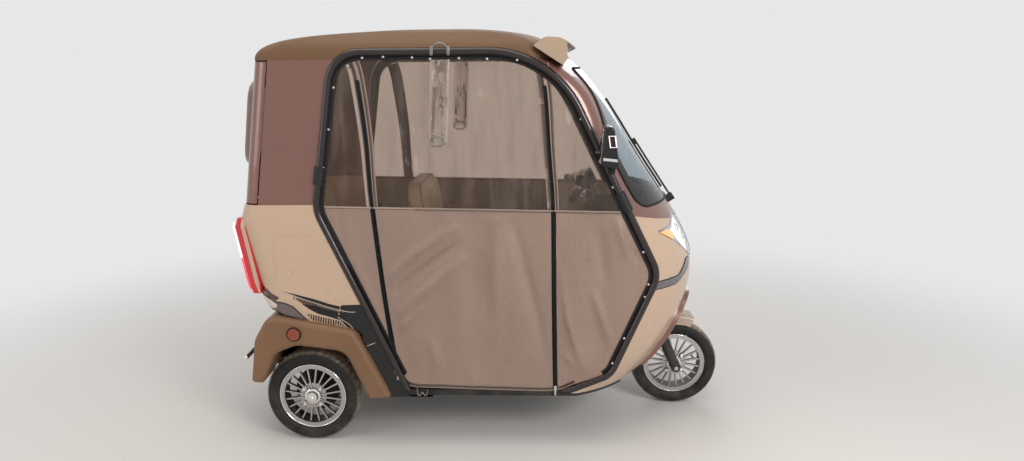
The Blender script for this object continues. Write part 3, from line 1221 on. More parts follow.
@dataclass
class Pad:
    """A cushion that is blown up by cloth simulation from a slightly smaller block, then sewn in channels."""

    name: str
    node: str
    outline: Outline  # in its own plane, as (x, y, corner radius)
    thickness: float
    frame: Matrix  # from its own frame, in millimetres, to the vehicle's
    seams: tuple[tuple[Flat, Flat], ...] = ()
    voxel: float = 6.0
    swell: float = 13.0  # the most that a point may move
    start: float = 7.0  # how much smaller the block begins on each side

    def blank(self) -> Item:
        """The block before it swells, as a remeshed object in metres in its own frame."""
        shape = Shape()
        edge = [Vector((x, y, 0.5)) for x, y in self.outline.loop(self.start, 15)]
        shape.plate(edge, Vector((0, 0, self.thickness - self.start - 0.5)), 20)
        bmesh.ops.recalc_face_normals(shape.bm, faces=shape.bm.faces)
        shape.bm.transform(Matrix.Scale(MM, 4))
        mesh = bpy.data.meshes.new(f"{self.name}_block")
        shape.bm.to_mesh(mesh)
        shape.bm.free()
        block = add_object(mesh.name, mesh)
        remesh = block.modifiers.new("voxels", "REMESH")
        remesh.mode, remesh.voxel_size = "VOXEL", self.voxel * MM
        block.data = self.settled(block)
        block.modifiers.clear()
        return block

    def settled(self, thing: Item) -> bpy.types.Mesh:
        """The object's mesh with its modifiers applied."""
        graph = bpy.context.evaluated_depsgraph_get()
        return bpy.data.meshes.new_from_object(thing.evaluated_get(graph))

    def blow(self, block: Item) -> list[Vector]:
        """Runs the cloth under pressure and returns where its points end."""
        base = block.vertex_groups.new(name="base")
        base.add([v.index for v in block.data.vertices if v.co.z < 0.012], 1.0, "REPLACE")
        cloth = block.modifiers.new("stuffing", "CLOTH").settings
        cloth.quality, cloth.mass = 5, 0.4
        cloth.tension_stiffness = cloth.compression_stiffness = 12.0
        cloth.shear_stiffness, cloth.bending_stiffness = 6.0, 1.5
        cloth.use_pressure, cloth.uniform_pressure_force = True, 4.0
        cloth.effector_weights.gravity = 0.0
        cloth.vertex_group_mass = "base"
        scene = bpy.context.scene
        for step in range(1, 21):
            scene.frame_set(step)
        mesh = self.settled(block)
        ends = [v.co.copy() for v in mesh.vertices]
        bpy.data.meshes.remove(mesh)
        block.modifiers.clear()
        scene.frame_set(1)
        return ends

    def sewn(self, point: Vector) -> Vector:
        """A point drawn in where a seam runs over the top."""
        depth = 0.0
        for (x0, y0), (x1, y1) in self.seams:
            dx, dy = x1 - x0, y1 - y0
            away = abs((point.x / MM - x0) * dy - (point.y / MM - y0) * dx) / math.hypot(dx, dy)
            depth += 11.0 * math.exp(-away / 13.0)
        depth *= smooth_step(point.z / MM, self.thickness * 0.45, self.thickness * 0.9)
        return point - Vector((0.0, 0.0, depth * MM))

    def build(self) -> Item:
        """Makes the pad and the piping round its upper edge."""
        block = self.blank()
        starts = [v.co.copy() for v in block.data.vertices]
        ends = self.blow(block)
        shape = Shape()
        shape.bm.from_mesh(block.data)
        shape.bm.verts.ensure_lookup_table()
        for vert, start, end in zip(shape.bm.verts, starts, ends):
            swell = end - start
            swell *= min(1.0, self.swell * MM / max(swell.length, 1e-9))
            vert.co = self.sewn(start + swell)
            vert.co.z = max(vert.co.z, 0.0005)
        bmesh.ops.smooth_vert(shape.bm, verts=shape.bm.verts, factor=0.5, use_axis_x=True, use_axis_y=True,
                              use_axis_z=True)
        shape.bm.transform(self.frame @ Matrix.Scale(1.0 / MM, 4))
        bpy.data.objects.remove(block)
        tree = BVHTree.FromBMesh(shape.bm)
        pad = shape.piece(self.name, VINYL, "seat_vinyl", smooth=80.0)
        soft = pad.modifiers.new("soft", "SUBSURF")
        soft.levels = soft.render_levels = 1
        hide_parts(self.node)
        self.piping(tree)
        return pad

    def piping(self, tree: BVHTree) -> None:
        """Lays a welt cord on the seam between the pad's top and its sides."""
        line = []
        for x, y in self.outline.loop(self.start + 2.0, 14.0):
            where = self.frame @ Vector((x, y, self.thickness - 17.0))
            found = tree.find_nearest(where)
            line.append(found[0] + found[1] * 1.2)
        cord = Shape()
        cord.sweep([*line, line[0]], 3.4, 8)
        cord.piece(f"{self.name}_piping", PIPING, "seat_vinyl", smooth=80.0)


def front_of(rear: float, front: float, half: float, back: float, toe: float) -> Outline:
    """A rounded rectangle in plan, clockwise, from its rear and front edges and half its width."""
    return Outline(((rear, -half, back), (rear, half, back), (front, half, toe), (front, -half, toe)))


@dataclass
class Seats:
    """The driver's seat and the bench behind it: cushions on their boxes, and reclined backrests."""

    seat_top: float = 545.0
    cushion: float = 90.0
    backrest: float = 85.0
    recline: float = 8.0
    driver: Spot = (470.0, 880.0, 230.0)  # rear edge, front edge and half width
    bench: Spot = (-70.0, 310.0, 330.0)
    heights: Flat = (450.0, 400.0)

    def lying(self) -> Matrix:
        """The frame of a cushion on its seat box."""
        return move((0.0, 0.0, self.seat_top))

    def leaning(self, x: float) -> Matrix:
        """The frame of a backrest: its own x up the back, and its thickness forwards."""
        c, s = math.cos(math.radians(self.recline)), math.sin(math.radians(self.recline))
        turn = Matrix(((-s, 0, c), (0, -1, 0), (c, 0, s))).to_4x4()
        return move((x, 0.0, self.seat_top + self.cushion + 6.0)) @ turn

    def build(self) -> None:
        """Makes the four pads."""
        for word, (rear, front, half), height in (("driver", self.driver, self.heights[0]),
                                                  ("bench", self.bench, self.heights[1])):
            middle = (rear + front) / 2.0
            across = ((middle - 70, -half), (middle - 70, half)), ((middle + 80, -half), (middle + 80, half))
            Pad(f"{word}_cushion", "seat_cushions", front_of(rear, front, half, 40, 60), self.cushion,
                self.lying(), across).build()
            spread = (-half * 0.42, half * 0.42)
            upright = tuple(((0, y), (height, y)) for y in spread)
            Pad(f"{word}_backrest", "backrests", front_of(0, height, half, 20, 90), self.backrest,
                self.leaning(rear - 20.0), upright).build()


class Skin:
    """The outside of some CAD nodes, on which thin pieces are laid along a line of sight."""

    def __init__(self, nodes: Nodes, names: Sequence[str], look: Sequence[float], plane: float = 0.0) -> None:
        """Gathers the nodes' surfaces.

        Args:
            nodes: the CAD nodes by name.
            names: those that carry the pieces.
            look: the way the line of sight runs, towards the surface.
            plane: where along it the plane lies that outlines are drawn on.
        """
        shell = bmesh.new()
        for name in names:
            shell.from_mesh(nodes[name].data)
        shell.transform(place().inverted())
        self.tree = BVHTree.FromBMesh(shell)
        shell.free()
        self.look = Vector(look).normalized()
        self.plane = plane

    def flat(self, points: Sequence[Flat]) -> list[Vector]:
        """Outline points in their plane, from (x, z) seen from the side or (y, z) seen from an end."""
        return [Vector((a, self.plane, z) if self.look.y else (self.plane, a, z)) for a, z in points]

    def drop(self, point: Vector, lift: float) -> Vector:
        """Where the line of sight through a point meets the surface, lifted off it."""
        spot, normal, _, _ = self.tree.ray_cast(point - self.look * 1500, self.look)
        if spot is None:
            spot, normal, _, _ = self.tree.find_nearest(point)
        return spot + normal * (lift if normal.dot(self.look) < 0.0 else -lift)

    def facing(self, point: Vector) -> Matrix:
        """A frame on the surface whose Z stands out of it."""
        spot = self.drop(point, 0.0)
        out = (self.drop(point, 10) - spot).normalized()
        return move(spot) @ out.to_track_quat("Z", "Y").to_matrix().to_4x4()

    def beside(self, line: Sequence[Vector], offset: float, closed: bool = False) -> list[Vector]:
        """A line moved sideways, square to the line of sight."""
        moved = []
        for i, point in enumerate(line):
            before = line[i - 1] if i or closed else point
            after = line[(i + 1) % len(line)] if i + 1 < len(line) or closed else point
            moved.append(point + self.look.cross((after - before).normalized()) * offset)
        return moved

    def lay(self, name: str, outlines: Sequence[Sequence[Flat]], finish: Finish, slot: str, lift: float,
            wall: float, band: Flat | None = None, closed: bool = True, smooth: float = 35.0) -> Item:
        """Lays flat outlines, or bands along them, on this surface and its mirror image as one piece.

        Args:
            name: the piece's name.
            outlines: points in this skin's plane.
            finish: what it is made of.
            slot: the record's material slot.
            lift: how far the inner face lies off the surface; less than 0 is inside.
            wall: the thickness.
            band: how far the two sides of a band lie beside each outline, where it isn't filled.
            closed: whether such a band runs round.
            smooth: the angle in degrees up to which an edge is shaded round.

        Returns:
            The piece.
        """
        shape = Shape()
        for outline in outlines:
            points = self.flat(outline)
            if band:
                shape.ribbon([self.beside(points, offset, closed) for offset in band], closed)
            else:
                shape.face(points)
        self.drape(shape, lift, wall)
        shape.both_sides()
        return shape.piece(name, finish, slot, smooth=smooth, outward=False)

    def drape(self, shape: Shape, lift: float, wall: float, cell: float = 9.0) -> Shape:
        """Divides a shape's flat faces finely, drops them on the surface and gives them a wall.

        Args:
            shape: flat faces only.
            lift: how far the inner face lies off the surface.
            wall: the thickness.
            cell: the longest edge.

        Returns:
            The same shape.
        """
        bm = shape.bm
        bmesh.ops.triangulate(bm, faces=bm.faces[:])
        for _ in range(8):
            long = [e for e in bm.edges if e.calc_length() > cell]
            if not long:
                break
            bmesh.ops.subdivide_edges(bm, edges=long, cuts=1)
            bmesh.ops.triangulate(bm, faces=[f for f in bm.faces if len(f.verts) > 3])
        grown = bmesh.ops.extrude_face_region(bm, geom=bm.faces[:])["geom"]
        raised = {g for g in grown if isinstance(g, bmesh.types.BMVert)}
        for vert in bm.verts:
            vert.co = self.drop(vert.co, lift + wall if vert in raised else lift)
        bmesh.ops.recalc_face_normals(bm, faces=bm.faces[:])
        return shape


@dataclass
class TailGraphics:
    """Swoosh, hatching, pinstripes and reflector on both sides of the tail, as (x, z) seen from the side."""

    nodes: Nodes
    swoosh: Line = ((-87, 673), (-24, 657), (42, 640), (101, 620), (150, 608), (168, 600), (168, 588),
                    (137, 592), (97, 604), (40, 622), (-26, 646))
    blade: Line = ((-14, 621), (44, 612), (104, 594), (168, 578), (168, 545), (135, 552), (99, 564),
                   (51, 578), (20, 596))
    shadow: Line = ((-34, 646), (40, 621), (97, 603), (137, 591), (160, 587), (160, 581), (104, 594),
                    (44, 612), (-10, 621), (-26, 633))
    wedge: Line = ((-202, 706), (-165, 687), (-139, 666), (-104, 646), (-117, 634), (-150, 646), (-182, 668))
    reflector: Line = ((-193, 657), (-159, 647), (-117, 628), (-81, 622), (-49, 607), (-17, 574), (18, 541),
                       (-37, 558), (-85, 571), (-127, 587), (-162, 602), (-185, 624))
    lens: Line = ((-192, 654), (-165, 647), (-135, 634), (-114, 617), (-117, 604), (-144, 600), (-172, 613),
                  (-187, 630))
    pinstripes: tuple[Line, ...] = (
        ((-80, 669), (-19, 645), (41, 625), (101, 605), (137, 595), (161, 589), (185, 584), (208, 585)),
        ((135, 563), (176, 535), (200, 508), (228, 461), (262, 398), (300, 322), (338, 244)),
        ((250, 438), (286, 452)))
    crease: Line = ((-112, 700), (-112, 790), (-112, 876), (-106, 893), (-90, 902), (-20, 908), (60, 913))
    grid: tuple[Flat, Flat, Flat, Flat] = ((4, 579), (176, 537), (30, 543), (205, 503))

    def strokes(self) -> list[list[Flat]]:
        """Slanted strokes that fade the swoosh into the blade, and the rows of dashes behind them."""
        made = []
        for i in range(9):
            x = -38.0 + 10.5 * i
            top, low = 650.0 - (x + 26.0) * 0.36, 634.0 - (x + 26.0) * 0.40
            made.append([(x, top), (x + 4.4, top), (x - 6, low), (x - 10, low)])
        (ax, az), (bx, bz), (cx, cz), (dx, dz) = self.grid
        for row in range(3):
            share = (row + 0.5) / 3.0
            for i in range(17):
                t = (i + 0.5) / 17.0
                x = (ax + (bx - ax) * t) * (1 - share) + (cx + (dx - cx) * t) * share
                z = (az + (bz - az) * t) * (1 - share) + (cz + (dz - cz) * t) * share
                made.append([(x - 0.2, z + 5.2), (x + 5.4, z + 3.9), (x + 2.2, z - 5.2), (x - 3.4, z - 3.9)])
        return made

    def build(self) -> None:
        """Makes every part of the tail's decoration."""
        lay = Skin(self.nodes, ("tail_body", "sills"), (0, 1, 0), -440).lay
        black, cream = "gloss_black", "body_cream"
        lay("tail_swoosh", [self.swoosh, self.blade, *self.strokes()], DECAL_BLACK, black, 0.3, 0.3)
        lay("tail_shadows", [self.shadow], DECAL_BROWN, black, 0.1, 0.15)
        lay("tail_wedges", [self.wedge], DARK_RED, black, 0.4, 0.3)
        lay("bumper_reflectors", [self.reflector], SMOKE_LENS, "lamp_red", 0.5, 2)
        lay("bumper_lamps", [self.lens], WHITE_LENS, "lamp_clear", 2.6, 2)
        stripes = [smooth_path(line) for line in self.pinstripes]
        lay("tail_pinstripes", stripes, PALE_LINE, cream, 0.75, 0.35, (-1.3, 1.3), False)
        lay("reflector_edges", [self.reflector], BLACK_GLOSS, black, 2.4, 1, (-2.2, 2.2))
        lay("tail_panel_crease", [smooth_path(self.crease)], BODY_CREAM, cream, 0.2, 0.7, (-4, 4), False, 80)


@dataclass
class Lamps:
    """What is inside the headlamps, the lit strips of the tail lamps and the rims of the side markers."""

    nodes: Nodes
    outline: Line = ((-371, 901), (-366, 906), (-262, 915), (-224, 932), (-184, 954), (-172, 952),
                     (-152, 939), (-149, 930), (-130, 786), (-134, 776), (-167, 754), (-178, 755))
    beam: Line = ((-286, 893), (-252, 902), (-214, 921), (-182, 938), (-163, 928), (-144, 792), (-170, 771),
                  (-236, 826))
    amber: Line = ((-354, 898), (-296, 905), (-268, 880), (-284, 857), (-300, 860))
    strip: tuple[Spot, ...] = ((-231, -426, 676), (-236, -431, 702), (-281, -423, 938), (-277, -420, 957))
    marker: Flat = (-42.0, 500.0)

    def headlamps(self) -> None:
        """The layers of each headlamp from the back to the lens, and its three ringed projectors."""
        skin = Skin(self.nodes, ("headlamps",), (-1, 0, 0), 1400)
        layers = (("bowls", self.outline, LAMP_BOWL, -13, 1, None),
                  ("beams", self.beam, BEAM_WHITE, -9, 1, None),
                  ("ambers", self.amber, BEAM_AMBER, -8, 1, None),
                  ("daylights", self.outline, BEAM_WHITE, -3.5, 1, (-9, -3.5)),
                  ("bezels", self.outline, LAMP_BOWL, -0.4, 1.6, (-2.4, 1)),
                  ("lenses", self.outline, LAMP_LENS, -1.4, 1.4, None))
        for word, edge, finish, lift, wall, band in layers:
            slot = "lamp_amber" if finish is BEAM_AMBER else "lamp_clear"
            skin.lay(f"headlamp_{word}", [edge], finish, slot, lift, wall, band, smooth=50)
        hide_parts("headlamps")
        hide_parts("headlamps")
        shape = Shape()
        for y, z, r in ((-208, 893, 17), (-176, 850, 19), (-165, 802, 17)):
            frame = skin.facing(Vector((skin.plane, y, z))) @ move((0, 0, -11))
            shape.lathe(((r - 3, 4), (r - 2, 7), (r, 7.6), (r + 1.6, 6), (r + 1.6, 0), (r - 3, 0),
                         (r - 3.0, 4.0)), frame, 32)
        shape.both_sides()
        shape.piece("headlamp_rings", CHROME, "lamp_clear")

    def tails(self) -> None:
        """The lit strip on the outer edge of each tail lamp: white above and red below."""
        path = [Vector(p) for p in self.strip]
        middle = path[1].lerp(path[2], 0.45)
        halves = (("lower", [path[0], path[1], middle], STRIP_RED),
                  ("upper", [middle, path[2], path[3]], STRIP_WHITE))
        for word, line, finish in halves:
            shape = Shape()
            shape.sweep(line, 3.9, 12)
            shape.both_sides()
            shape.piece(f"tail_strips_{word}", finish, "lamp_red", smooth=60.0)

    def shrouds(self) -> None:
        """The body-coloured cover over the front half of each tail lamp's outer side."""
        edge = ((-196, 661), (-206, 700), (-251, 940), (-247, 969), (-230, 969), (-235, 940), (-190, 700),
                (-190, 661))
        skin = Skin(self.nodes, ("tail_lamps",), (0, 1, 0), -450)
        skin.lay("tail_lamp_shrouds", [edge], BODY_CREAM, "body_cream", 0.2, 1.2)

    def markers(self) -> None:
        """A dark rim round each amber side marker, on the wing."""
        x, z = self.marker
        level = Skin(self.nodes, ("wings",), (0, 1, 0)).drop(Vector((x + 34, -450, z)), 0).y
        shape = Shape()
        rim = ((25.2, 0), (31, 0), (31, 4.5), (29.6, 6.6), (26.6, 6.6), (25.2, 5), (25.2, 0))
        shape.lathe(rim, move((x, level + 2, z)) @ turned(90, "X"), 48)
        shape.both_sides()
        shape.piece("side_marker_rims", BLACK_GLOSS, "gloss_black")

    def build(self) -> None:
        """Makes every part of the lamps."""
        self.headlamps()
        self.tails()
        self.shrouds()
        self.markers()


@dataclass
class Glazings:
    """Black borders and rubber seals of the windscreen and of the hatch's window, as (y, z) outlines."""

    nodes: Nodes
    screen: Outline = Outline(((-385, 1000, 50), (-392, 1300, 500), (-296, 1566, 60), (296, 1566, 60),
                               (392, 1300, 500), (385, 1000, 50)))
    window: Outline = Outline(((-350, 1160, 75), (-350, 1540, 75), (350, 1540, 75), (350, 1160, 75)))

    def ring(self, skin: Skin, outline: Outline, low: float, high: float) -> Shape:
        """A flat ring between two insets of an outline."""
        shape = Shape()
        shape.ribbon([skin.flat(outline.loop(inset)) for inset in (low, high)], closed=True)
        return shape

    def seal(self, skin: Skin, outline: Outline, inset: float, radius: float) -> Shape:
        """A round cord laid along an outline."""
        line = [skin.drop(point, radius * 0.25) for point in skin.flat(outline.loop(inset))]
        shape = Shape()
        shape.sweep([*line, line[0]], radius, 10)
        return shape

    def build(self) -> None:
        """Makes the borders and seals."""
        ahead = Skin(self.nodes, ("windscreen",), (-1, 0, 0), 1400)
        border = ahead.drape(self.ring(ahead, self.screen, 4, 42), 0.3, 0.4, 16)
        border.piece("windscreen_border", BLACK_GLOSS, "gloss_black", smooth=60, outward=False)
        seal = self.seal(ahead, self.screen, 5.0, 5.0)
        seal.piece("windscreen_seal", RUBBER, "black_plastic", smooth=60.0)
        behind = Skin(self.nodes, ("rear_window", "hatch"), (1, 0, 0), -400)
        edge = behind.drape(self.ring(behind, self.window, -4, 44), 0.4, 0.6, 12)
        edge.piece("rear_window_border", BODY_MAUVE, "body_mauve", "hatch", 60, False)
        cord = self.seal(behind, self.window, 46.0, 3.2)
        cord.piece("rear_window_seal", RUBBER, "black_plastic", "hatch", 60)


@dataclass
class Fittings:
    """Small parts: mirror glass and indicators, hatch lock, blank plate, tail rod, display and controls."""

    nodes: Nodes
    eaves: float = 1600.0
    rake: float = 24.0
    axis_foot: Spot = (1560.0, 0.0, 200.0)
    bar_end: Spot = (945.0, -330.0, -75.0)  # up the axis, sideways, forwards
    bar_bend: Spot = (945.0, -170.0, -41.25)

    def mirrors(self) -> None:
        """The indicator, bright strip and glass of each door mirror, and the boot under its housing."""
        side = Skin(self.nodes, ("mirrors",), (0, 1, 0), -600)
        square = ((1225, 1313), (1248, 1313), (1254, 1271), (1231, 1271))
        side.lay("mirror_indicators", [square], STRIP_WHITE, "lamp_clear", 0.5, 0.9, (-2, 2.4))
        strip = ((1206, 1232), (1258, 1226), (1259, 1216), (1205, 1222))
        side.lay("mirror_strips", [strip], CHROME, "steel", 0.4, 0.8)
        pane = front_of(-574, -496, 67, 12, 12).loop(0)
        behind = Skin(self.nodes, ("mirrors",), (1, 0, 0), 1000)
        behind.lay("mirror_glass", [[(y, 1271 + z) for y, z in pane]], MIRROR_SILVER, "clear_glass", 0.4, 0.8)
        boot = Shape()
        rings = [(0, 0), *((15 - 0.5 * i + (1.6 if i % 2 else 0), 3.2 * i) for i in range(9)), (0, 27)]
        boot.lathe(rings, move((1243, -536, 1190)) @ turned(180, "Y"), 28)
        boot.both_sides()
        boot.piece("mirror_boots", RUBBER, "black_plastic")

    def hatch(self) -> None:
        """The hatch's lock and its pull."""
        skin = Skin(self.nodes, ("hatch",), (1, 0, 0), -400)
        frame = skin.facing(Vector((skin.plane, 0, 1092)))
        lock, pull = Shape(), Shape()
        lock.lathe(((0, 0), (17, 0), (17, 3), (15, 5), (9.5, 5), (8.5, 3.6), (0, 3.6)), frame, 36)
        lock.block((2.4, 9, 1.2), frame @ move((0, 0, 3.9)), 0.4)
        lock.piece("hatch_lock", CHROME, "steel", "hatch")
        for point in skin.flat(((-62, 1118), (62, 1118))):
            pull.rod(skin.drop(point, -1), skin.drop(point, 20), 6)
        line = skin.flat([(y, 1118) for y in range(-72, 73, 8)])
        pull.sweep([skin.drop(point, 20.0) for point in line], 7.0, 12)
        pull.piece("hatch_pull", BLACK_GLOSS, "black_plastic", "hatch", 60)

    def tail(self) -> None:
        """The blank plate with its bolts, and the rod behind each wing."""
        plate, bolts, rod, tip = Shape(), Shape(), Shape(), Shape()
        edge = front_of(-120, 120, 56, 10, 10).loop(0)
        plate.plate([Vector((-330, y, 322 + z)) for y, z in edge], Vector((-1.2, 0, 0)))
        plate.piece("blank_number_plate", PLATE_WHITE, "steel")
        bolt = ((0, 0), (7.5, 0), (7.5, 1), (5.6, 1.2), (5.2, 3), (3.4, 4.2), (0, 4.6))
        for y in (-90.0, 90.0):
            bolts.lathe(bolt, move((-331.2, y, 350)) @ turned(-90, "Y"), 20)
        bolts.piece("plate_bolts", STEEL, "steel")
        path = [Vector(p) for p in ((-196, -428, 436), (-214, -430, 428), (-232, -431, 414),
                                    (-252, -432, 394), (-268, -432, 378))]
        rod.sweep(path, 8.0, 14)
        rod.both_sides()
        rod.piece("tail_rods", BLACK_MATT, "black_plastic", smooth=60.0)
        tip.rod(path[-1] + Vector((3, 0, 3)), path[-1] - Vector((8, 0, 8)), 9.5, 20, 2.5)
        tip.both_sides()
        tip.piece("tail_rod_tips", CHROME, "steel")

    def nose(self) -> None:
        """The dark edge round the grey trim on each side of the nose, from the hoop to its tip."""
        sides = [((1392, height), (1520, height - 0.5)) for height in (673.5, 706.8)]
        tips = [((-392, 673), (-330, 672), (-272, 692), (-215, 716), (-190, 760), (-235, 760), (-275, 731),
                 (-315, 706), (-392, 706.4))]
        for word, lines, look, plane in (("side", sides, (0, 1, 0), -600), ("front", tips, (-1, 0, 0), 1800)):
            skin = Skin(self.nodes, ("front_trim", "front_cowl"), look, plane)
            name = f"nose_trim_{word}_edges"
            skin.lay(name, lines, BLACK_GLOSS, "gloss_black", 0.4, 0.5, (-1.9, 1.9), False, 60)

    def gutter(self) -> None:
        """The rubber strip in the gap between the hatch's top edge and the roof."""
        plan = front_of(-161, 500, 417.5, 62, 20)
        rails = [[Vector((x, y, self.eaves - 5.3)) for x, y in plan.loop(inset) if x < -98.0]
                 for inset in (1.0, 5.4)]
        start = max(range(len(rails[0])), key=lambda i: (rails[0][i] - rails[0][i - 1]).length)
        outer, inner = (rail[start:] + rail[:start] for rail in rails)
        strip = Shape()
        strip.plate([*outer, *reversed(inner)], Vector((0, 0, 5.2)))
        strip.piece("hatch_gutter_seal", RUBBER, "black_plastic")

    def up_axis(self, distance: float, y: float, ahead: float) -> Vector:
        """A point up the steering axis, moved sideways and square to it forwards."""
        return Vector(self.axis_foot) + turned(-self.rake, "Y") @ Vector((ahead, y, distance))

    def bar(self) -> None:
        """The display on the pod, and a switch cover with its buttons and a bright lever at each grip."""
        upright = turned(-self.rake, "Y")
        screen, knobs = Shape(), Shape()
        screen.block((64, 136, 3), move(self.up_axis(982.6, 0, 3)) @ upright, 1.2)
        screen.piece("display_glass", DISPLAY, "gloss_black", "steering")
        for y in (-80.0, 80.0):
            knobs.lathe(((0, 0), (7, 0), (7, 5), (5.6, 7), (0, 7.4)),
                        move(self.up_axis(981.5, y, 3.0)) @ upright, 20)
        knobs.piece("display_knobs", CHROME, "steel", "steering")
        end = self.up_axis(*self.bar_end)
        along = (self.up_axis(*self.bar_bend) - end).normalized()
        up = upright.to_3x3() @ Vector((0, 0, 1))
        ahead = along.cross(up).normalized()
        if ahead.x < 0.0:
            ahead = -ahead
        frame = Matrix((along, ahead, up)).transposed().to_4x4()
        cover, lever, buttons = Shape(), Shape(), Shape()
        cover.block((32, 37, 45), move(end + along * 133) @ frame, 7, 3)
        for offset, size in ((-9, 5), (0, 6), (9, 5)):
            spot = end + along * 133.0 - ahead * 18.0 + up * offset
            buttons.block((12, 5, size), move(spot) @ frame, 1.2)
        edge = ((140, 12), (112, 42), (30, 46), (0, 38), (2, 31), (32, 39), (106, 35), (124, 12))
        lever.plate([end + along * a + ahead * b - up * 6.6 for a, b in edge], up * 13.2, 2.0)
        ball = [(8 * math.sin(math.pi * i / 12), -8 * math.cos(math.pi * i / 12)) for i in range(13)]
        lever.lathe(ball, move(end + ahead * 34.5), 24)
        for shape, name, finish, slot in ((cover, "switch_covers", GUARD_CREAM, "black_plastic"),
                                          (buttons, "switch_buttons", BLACK_MATT, "black_plastic"),
                                          (lever, "bright_levers", CHROME, "steel")):
            shape.both_sides()
            shape.piece(name, finish, slot, "steering")

    def build(self) -> None:
        """Makes the small parts."""
        self.mirrors()
        self.hatch()
        self.tail()
        self.nose()
        self.gutter()
        self.bar()


@dataclass
class Bodywork:
    """The CAD nodes that keep their own shapes, under their finishes."""

    nodes: Nodes
    dressed: tuple[tuple[Finish, tuple[str, ...]], ...] = (
        (ROOF_TAN, ("roof",)), (VISOR_CREAM, ("visor",)), (GREY_TRIM, ("front_trim",)),
        (WING_TAN, ("wings",)),
        (BODY_MAUVE, ("quarter_panels", "hatch", "screen_surround", "arch_trim")),
        (BODY_CREAM, ("tail_body", "front_cowl", "seat_boxes")), (GUARD_CREAM, ("mudguard", "fork_cover")),
        (HOOP_BLACK, ("hoops",)), (BLACK_GLOSS, ("sills", "mirrors", "instrument_pod")),
        (BLACK_MATT, ("hoop_clamps", "wiper", "floor_pan", "bulkhead", "well_liner", "rear_apron",
                      "luggage_floor", "plate_bracket")),
        (FRAME_BLACK, ("chassis", "fork", "rear_axle", "leaf_springs", "handlebar", "steering_stem",
                       "backrest_frames")),
        (STEEL, ("hatch_hinges", "front_axle")), (GRIP, ("grips",)), (BATTERY, ("battery",)),
        (GLASS, ("windscreen", "headlamps")), (DARK_GLASS, ("rear_window",)), (RED_LENS, ("tail_lamps",)),
        (AMBER_LENS, ("side_markers",)), (SpokedAlloy("front_alloy", ALLOY, axle=Axle.FRONT), ("front_rim",)),
        (SpokedAlloy("rear_right_alloy", ALLOY, axle=Axle.RIGHT), ("rear_rim_right",)),
        (SpokedAlloy("rear_left_alloy", ALLOY, axle=Axle.LEFT), ("rear_rim_left",)))

    def build(self) -> None:
        """Gives each node its finish."""
        for finish, names in self.dressed:
            for name in names:
                self.nodes[name].data.materials.clear()
                self.nodes[name].data.materials.append(finish.material())
                LOG.info("dressed %s in %s", name, finish.name)


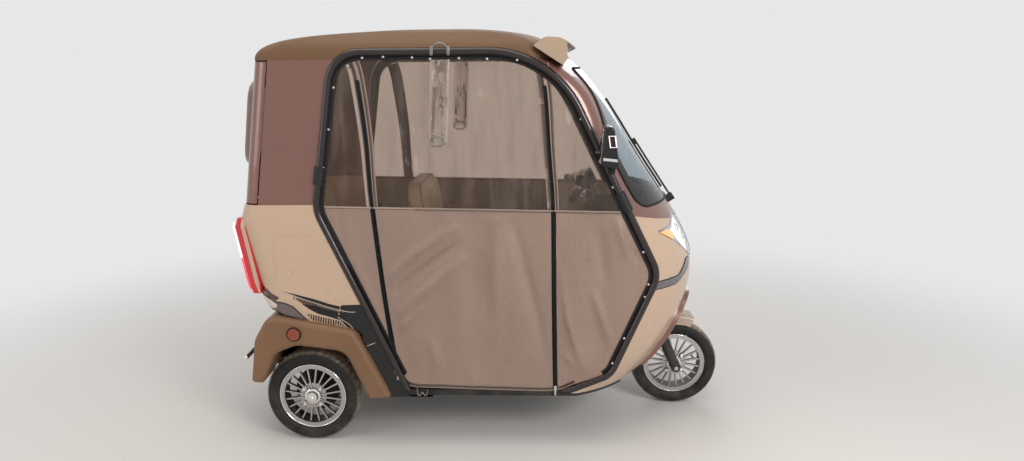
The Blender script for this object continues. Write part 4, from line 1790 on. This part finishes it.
@dataclass
class Studio:
    """The reference view's camera, a pale floor that fades into the background, and soft lights."""

    yaw: float = -2.03
    pitch: float = 12.07
    roll: float = 0.49
    focal: float = 750.0 / 1024.0  # in picture widths
    stand: Spot = (962.0, -3385.0, 1555.0)
    background: float = 0.80
    floor: Colour = (0.74, 0.73, 0.72)

    def camera(self) -> None:
        """Sets the camera up where the photograph was taken from."""
        yaw, pitch, roll = (math.radians(a) for a in (self.yaw, self.pitch, self.roll))
        ahead = Vector((math.sin(yaw) * math.cos(pitch), math.cos(yaw) * math.cos(pitch), -math.sin(pitch)))
        right = Vector((math.cos(yaw), -math.sin(yaw), 0))
        down = ahead.cross(right)
        across = right * math.cos(roll) + down * math.sin(roll)
        data = bpy.data.cameras.new("reference_view")
        data.sensor_width = 36.0
        data.lens = self.focal * data.sensor_width
        eye = add_object("reference_view", data)
        turn = Matrix((across, -ahead.cross(across), -ahead)).transposed().to_4x4()
        eye.matrix_world = move(at(*self.stand)) @ turn
        bpy.context.scene.camera = eye

    def seen(self, g: Graph) -> Socket:
        """1 for the rays of the camera, metal and glass, which see the bright background."""
        rays = g.add("LightPath").outputs
        either = g.math("MAXIMUM", rays["Is Camera Ray"], rays["Is Glossy Ray"])
        return g.math("MAXIMUM", either, rays["Is Transmission Ray"])

    def ground(self) -> None:
        """Lays the floor, whose far part has the background's own brightness."""
        bm = bmesh.new()
        bmesh.ops.create_circle(bm, cap_ends=True, segments=96, radius=60.0)
        mesh = bpy.data.meshes.new("floor")
        bm.to_mesh(mesh)
        bm.free()
        floor = add_object("floor", mesh)
        material = bpy.data.materials.new("pale_floor")
        g = Graph.emptied(material)
        away = g.add("VectorMath", {0: g.place_of()}, operation="LENGTH").outputs["Value"]
        tone = g.mix(g.noise(2, 5), self.floor, tuple(c * 0.97 for c in self.floor))
        near = g.add("BsdfPrincipled", {"Base Color": tone, "Roughness": 0.7}).outputs[0]
        glow = g.add("Emission", {"Color": (1, 1, 1), "Strength": self.background}).outputs[0]
        share = g.times(g.band(away, 1.4, 4.2), self.seen(g))
        g.add("OutputMaterial", {0: g.add("MixShader", {0: share, 1: near, 2: glow}).outputs[0]})
        mesh.materials.append(material)

    def sky(self) -> None:
        """A dim world light, which the camera, metal and glass see as the pale background."""
        world = bpy.data.worlds.new("studio")
        bpy.context.scene.world = world
        g = Graph.emptied(world)
        low = g.add("Background", {"Color": (1, 0.98, 0.95), "Strength": 0.40}).outputs[0]
        high = g.add("Background", {"Color": (1, 1, 1), "Strength": self.background}).outputs[0]
        g.add("OutputWorld", {0: g.add("MixShader", {0: self.seen(g), 1: low, 2: high}).outputs[0]})

    def lamp(self, name: str, stand: Vector, aim: Vector, size: Flat, power: float, colour: Colour) -> None:
        """Hangs one soft rectangular lamp.

        Args:
            name: its name.
            stand: where it hangs.
            aim: the point it looks at.
            size: its width and height in metres.
            power: its power in watts.
            colour: its light's colour.
        """
        data = bpy.data.lights.new(name, "AREA")
        data.shape = "RECTANGLE"
        data.size, data.size_y = size
        data.energy, data.color = power, colour
        lamp = add_object(name, data)
        lamp.visible_transmission = False
        lamp.matrix_world = move(stand) @ (aim - stand).to_track_quat("-Z", "Y").to_matrix().to_4x4()

    def build(self) -> None:
        """Makes the camera, floor, background and lamps."""
        self.camera()
        self.ground()
        self.sky()
        bpy.context.scene.view_settings.view_transform = "Standard"
        middle = Vector((0.0, 0.0, 0.8))
        self.lamp("overhead", Vector((-0.3, -0.6, 4.2)), middle, (4.0, 2.5), 60.0, (1.0, 0.95, 0.88))
        self.lamp("front_key", Vector((2.6, -3.6, 2.6)), middle, (1.6, 1.6), 105.0, (1.0, 0.96, 0.92))
        self.lamp("rear_fill", Vector((-3.6, -2.4, 2.2)), middle, (1.6, 2.2), 30.0, (1.0, 0.90, 0.82))
        self.lamp("far_fill", Vector((0.5, 4.2, 2.4)), middle, (3.0, 2.0), 40.0, (0.95, 0.97, 1.0))


def main() -> None:
    """Loads the frame, dresses it and lights it."""
    logging.basicConfig(level=logging.INFO, format="%(message)s")
    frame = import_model()
    Studio().build()
    Bodywork(frame["nodes"]).build()
    for side in ("right", "left"):
        SideCurtain(side).build()
    Wheel(Axle.FRONT, "front_wheel", "front_tyre").build()
    Wheel(Axle.RIGHT, "rear_wheel_right", "rear_tyre_right").build()
    Wheel(Axle.LEFT, "rear_wheel_left", "rear_tyre_left").build()
    Seats().build()
    for maker in (TailGraphics, Lamps, Glazings, Fittings):
        maker(frame["nodes"]).build()


if __name__ == "__main__":
    main()
